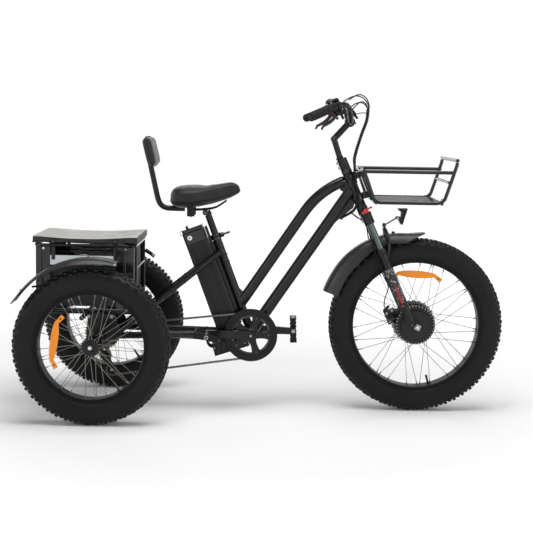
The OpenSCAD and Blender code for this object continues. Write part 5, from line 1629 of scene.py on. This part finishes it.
def make_cover():
    """A fitted cloth cover: crowned top with slack folds, and a skirt that sags between its corners. The top's pale
    grey is a painted reflection of the bright room on dark glossy cloth; the skirt keeps the dark colour.
    """
    shape = Shape(COVER)
    x0, x1, half = REAR_X - 0.0015, FRONT_X + 0.0015, HALF + 0.0052
    columns, rows = 44, 40
    skirt_rows = 5
    mid_x, span = (x0 + x1) / 2, (x1 - x0) / 2

    def top_z(u, v):
        base = 0.684 + 0.0112 * u * u
        drop = 0.0035 * (abs(u) ** 10 + abs(v) ** 10)
        slack = 0.0040 * (1 - u ** 4) * (1 - v ** 4)
        fold = 0.0042 * math.exp(-((v + 0.52 + 0.05 * u) / 0.10) ** 2) + 0.0030 * math.exp(
            -((v - 0.10 * math.sin(2.2 * u) - 0.18) / 0.07) ** 2)
        crease = 0.0016 * noise.noise(Vector((u * 3.2, v * 4.6, 1.7)))
        return base - drop - slack + (fold + crease) * (1 - u ** 6) * (1 - v ** 6)
    verts = []
    for i in range(rows + 1):
        v = 2 * i / rows - 1
        for j in range(columns + 1):
            u = 2 * j / columns - 1
            verts.append((mid_x + u * span, v * half, min(top_z(u, v), COVER_TOP)))
    faces = grid(rows, columns)
    top_faces = len(faces)
    last = ids = rim_of(rows, columns)
    for level in range(1, skirt_rows + 1):
        f = level / skirt_rows
        start = len(verts)
        for i in ids:
            x, y, z = verts[i]
            u, v = (x - mid_x) / span, y / half
            along = u if abs(abs(v) - 1) < 1e-6 else v
            sag = 0.0016 * math.sin(math.pi * (along + 1) * 2.5) ** 2
            flare = 0.0006 * math.sin(along * 23) * f
            z_low = 0.6675 + sag
            nx = (1 if u > 0.999 else -1 if u < -0.999 else 0)
            ny = (1 if v > 0.999 else -1 if v < -0.999 else 0)
            verts.append((x + nx * flare, y + ny * flare, z + (z_low - z) * f))
        new = list(range(start, len(verts)))
        faces += joined(last, new)
        last = new
    shape.add(verts, faces)
    # the skirt takes the dark hem cloth; only the top carries the painted reflection
    shape.materials.append(HEM)
    shape.marks[top_faces:] = [1] * (len(faces) - top_faces)
    o = shape.build("fitted_cover", "frame", 60, "cover_cloth", "basket_cover", cloth=0.0011)
    # cut with a skirt of 25 mm on each side
    # black hem round the skirt, with two buckles on each side
    hem = Shape(HEM)
    line = [Vector(verts[i]) for i in last]
    hem.tube(line, 0.0024, 8, closed=True)
    hem.tube([p + Vector((0, 0, 0.0045)) for p in line], 0.0021, 8, closed=True)
    for s in (-1, 1):
        for x in (-0.815, -0.578):
            y = s * (half + 0.0008)
            hem.block((x - 0.011, y, 0.6640), (x + 0.011, y + s * 0.0024, 0.6820), None, PLASTIC)
            hem.block((x - 0.006, y, 0.6665), (x + 0.006, y + s * 0.0038, 0.6770), None, GLASSY)
            hem.block((x - 0.007, y - s * 0.0060, 0.600), (x + 0.007, y - s * 0.0040, 0.6640), None, HEM, 0.0004)
    for k in (-1, 1):
        hem.tube([Vector((x0 + 0.012 + (x1 - x0 - 0.024) * t / 16, k * 0.06,
                          min(top_z(2 * (0.03 + 0.94 * t / 16) - 1, k * 0.06 / half), COVER_TOP) + 0.0008))
                  for t in range(17)], 0.0008, 6, COVER)
    h = hem.build("cover_hem", "frame", 45, "cover_cloth")


make_cover()

deck = Shape(METAL)
for y in (-0.115, 0.115):
    for x in (-0.470, -0.640, -0.866):
        deck.bolt((x, y, 0.4028), (0, 0, 1), 0.004, 0.004, STEEL)
for s in (-1, 1):
    for x in (-0.690, -0.600):
        deck.bolt((x, s * 0.1204, 0.372), (0, s, 0), 0.0045, 0.004, STEEL)
socket = facing(mm(-458, 150, 584), Vector((38.5, 0, -25)))
deck.lathe([(0.0055, -0.012), (0.0086, -0.012), (0.0090, -0.004), (0.0090, 0.001), (0.0055, 0.001),
            (0.0055, -0.012)], socket, 28, ALLOY)
deck.build("deck_bolts", "frame", 35, "bare_steel")

# ---------------------------------------------------------------- floor

floor_mesh = bpy.data.meshes.new("floor")
floor_mesh.from_pydata([(-14, -14, 0), (14, -14, 0), (14, 14, 0), (-14, 14, 0)], [], [[0, 1, 2, 3]])
floor = bpy.data.objects.new("floor", floor_mesh)
bpy.context.scene.collection.objects.link(floor)
paper = Nodes("studio_floor")
ground = paper.add("ShaderNodeVectorMath", {0: paper.place, 1: (1, 1, 0)}, operation="MULTIPLY").outputs[0]
far_off = paper.add("ShaderNodeVectorMath", {0: ground}, operation="LENGTH").outputs["Value"]
grain = paper.between(paper.noise(200, 3), 0.66, 0.74)
floor_mesh.materials.append(paper.finish((0.88, 0.88, 0.88), grain, **{
    "Emission Color": (1.0, 1.0, 1.0), "Emission Strength": paper.between(far_off, 0.0, 0.72, (1.0, 4.8))}))
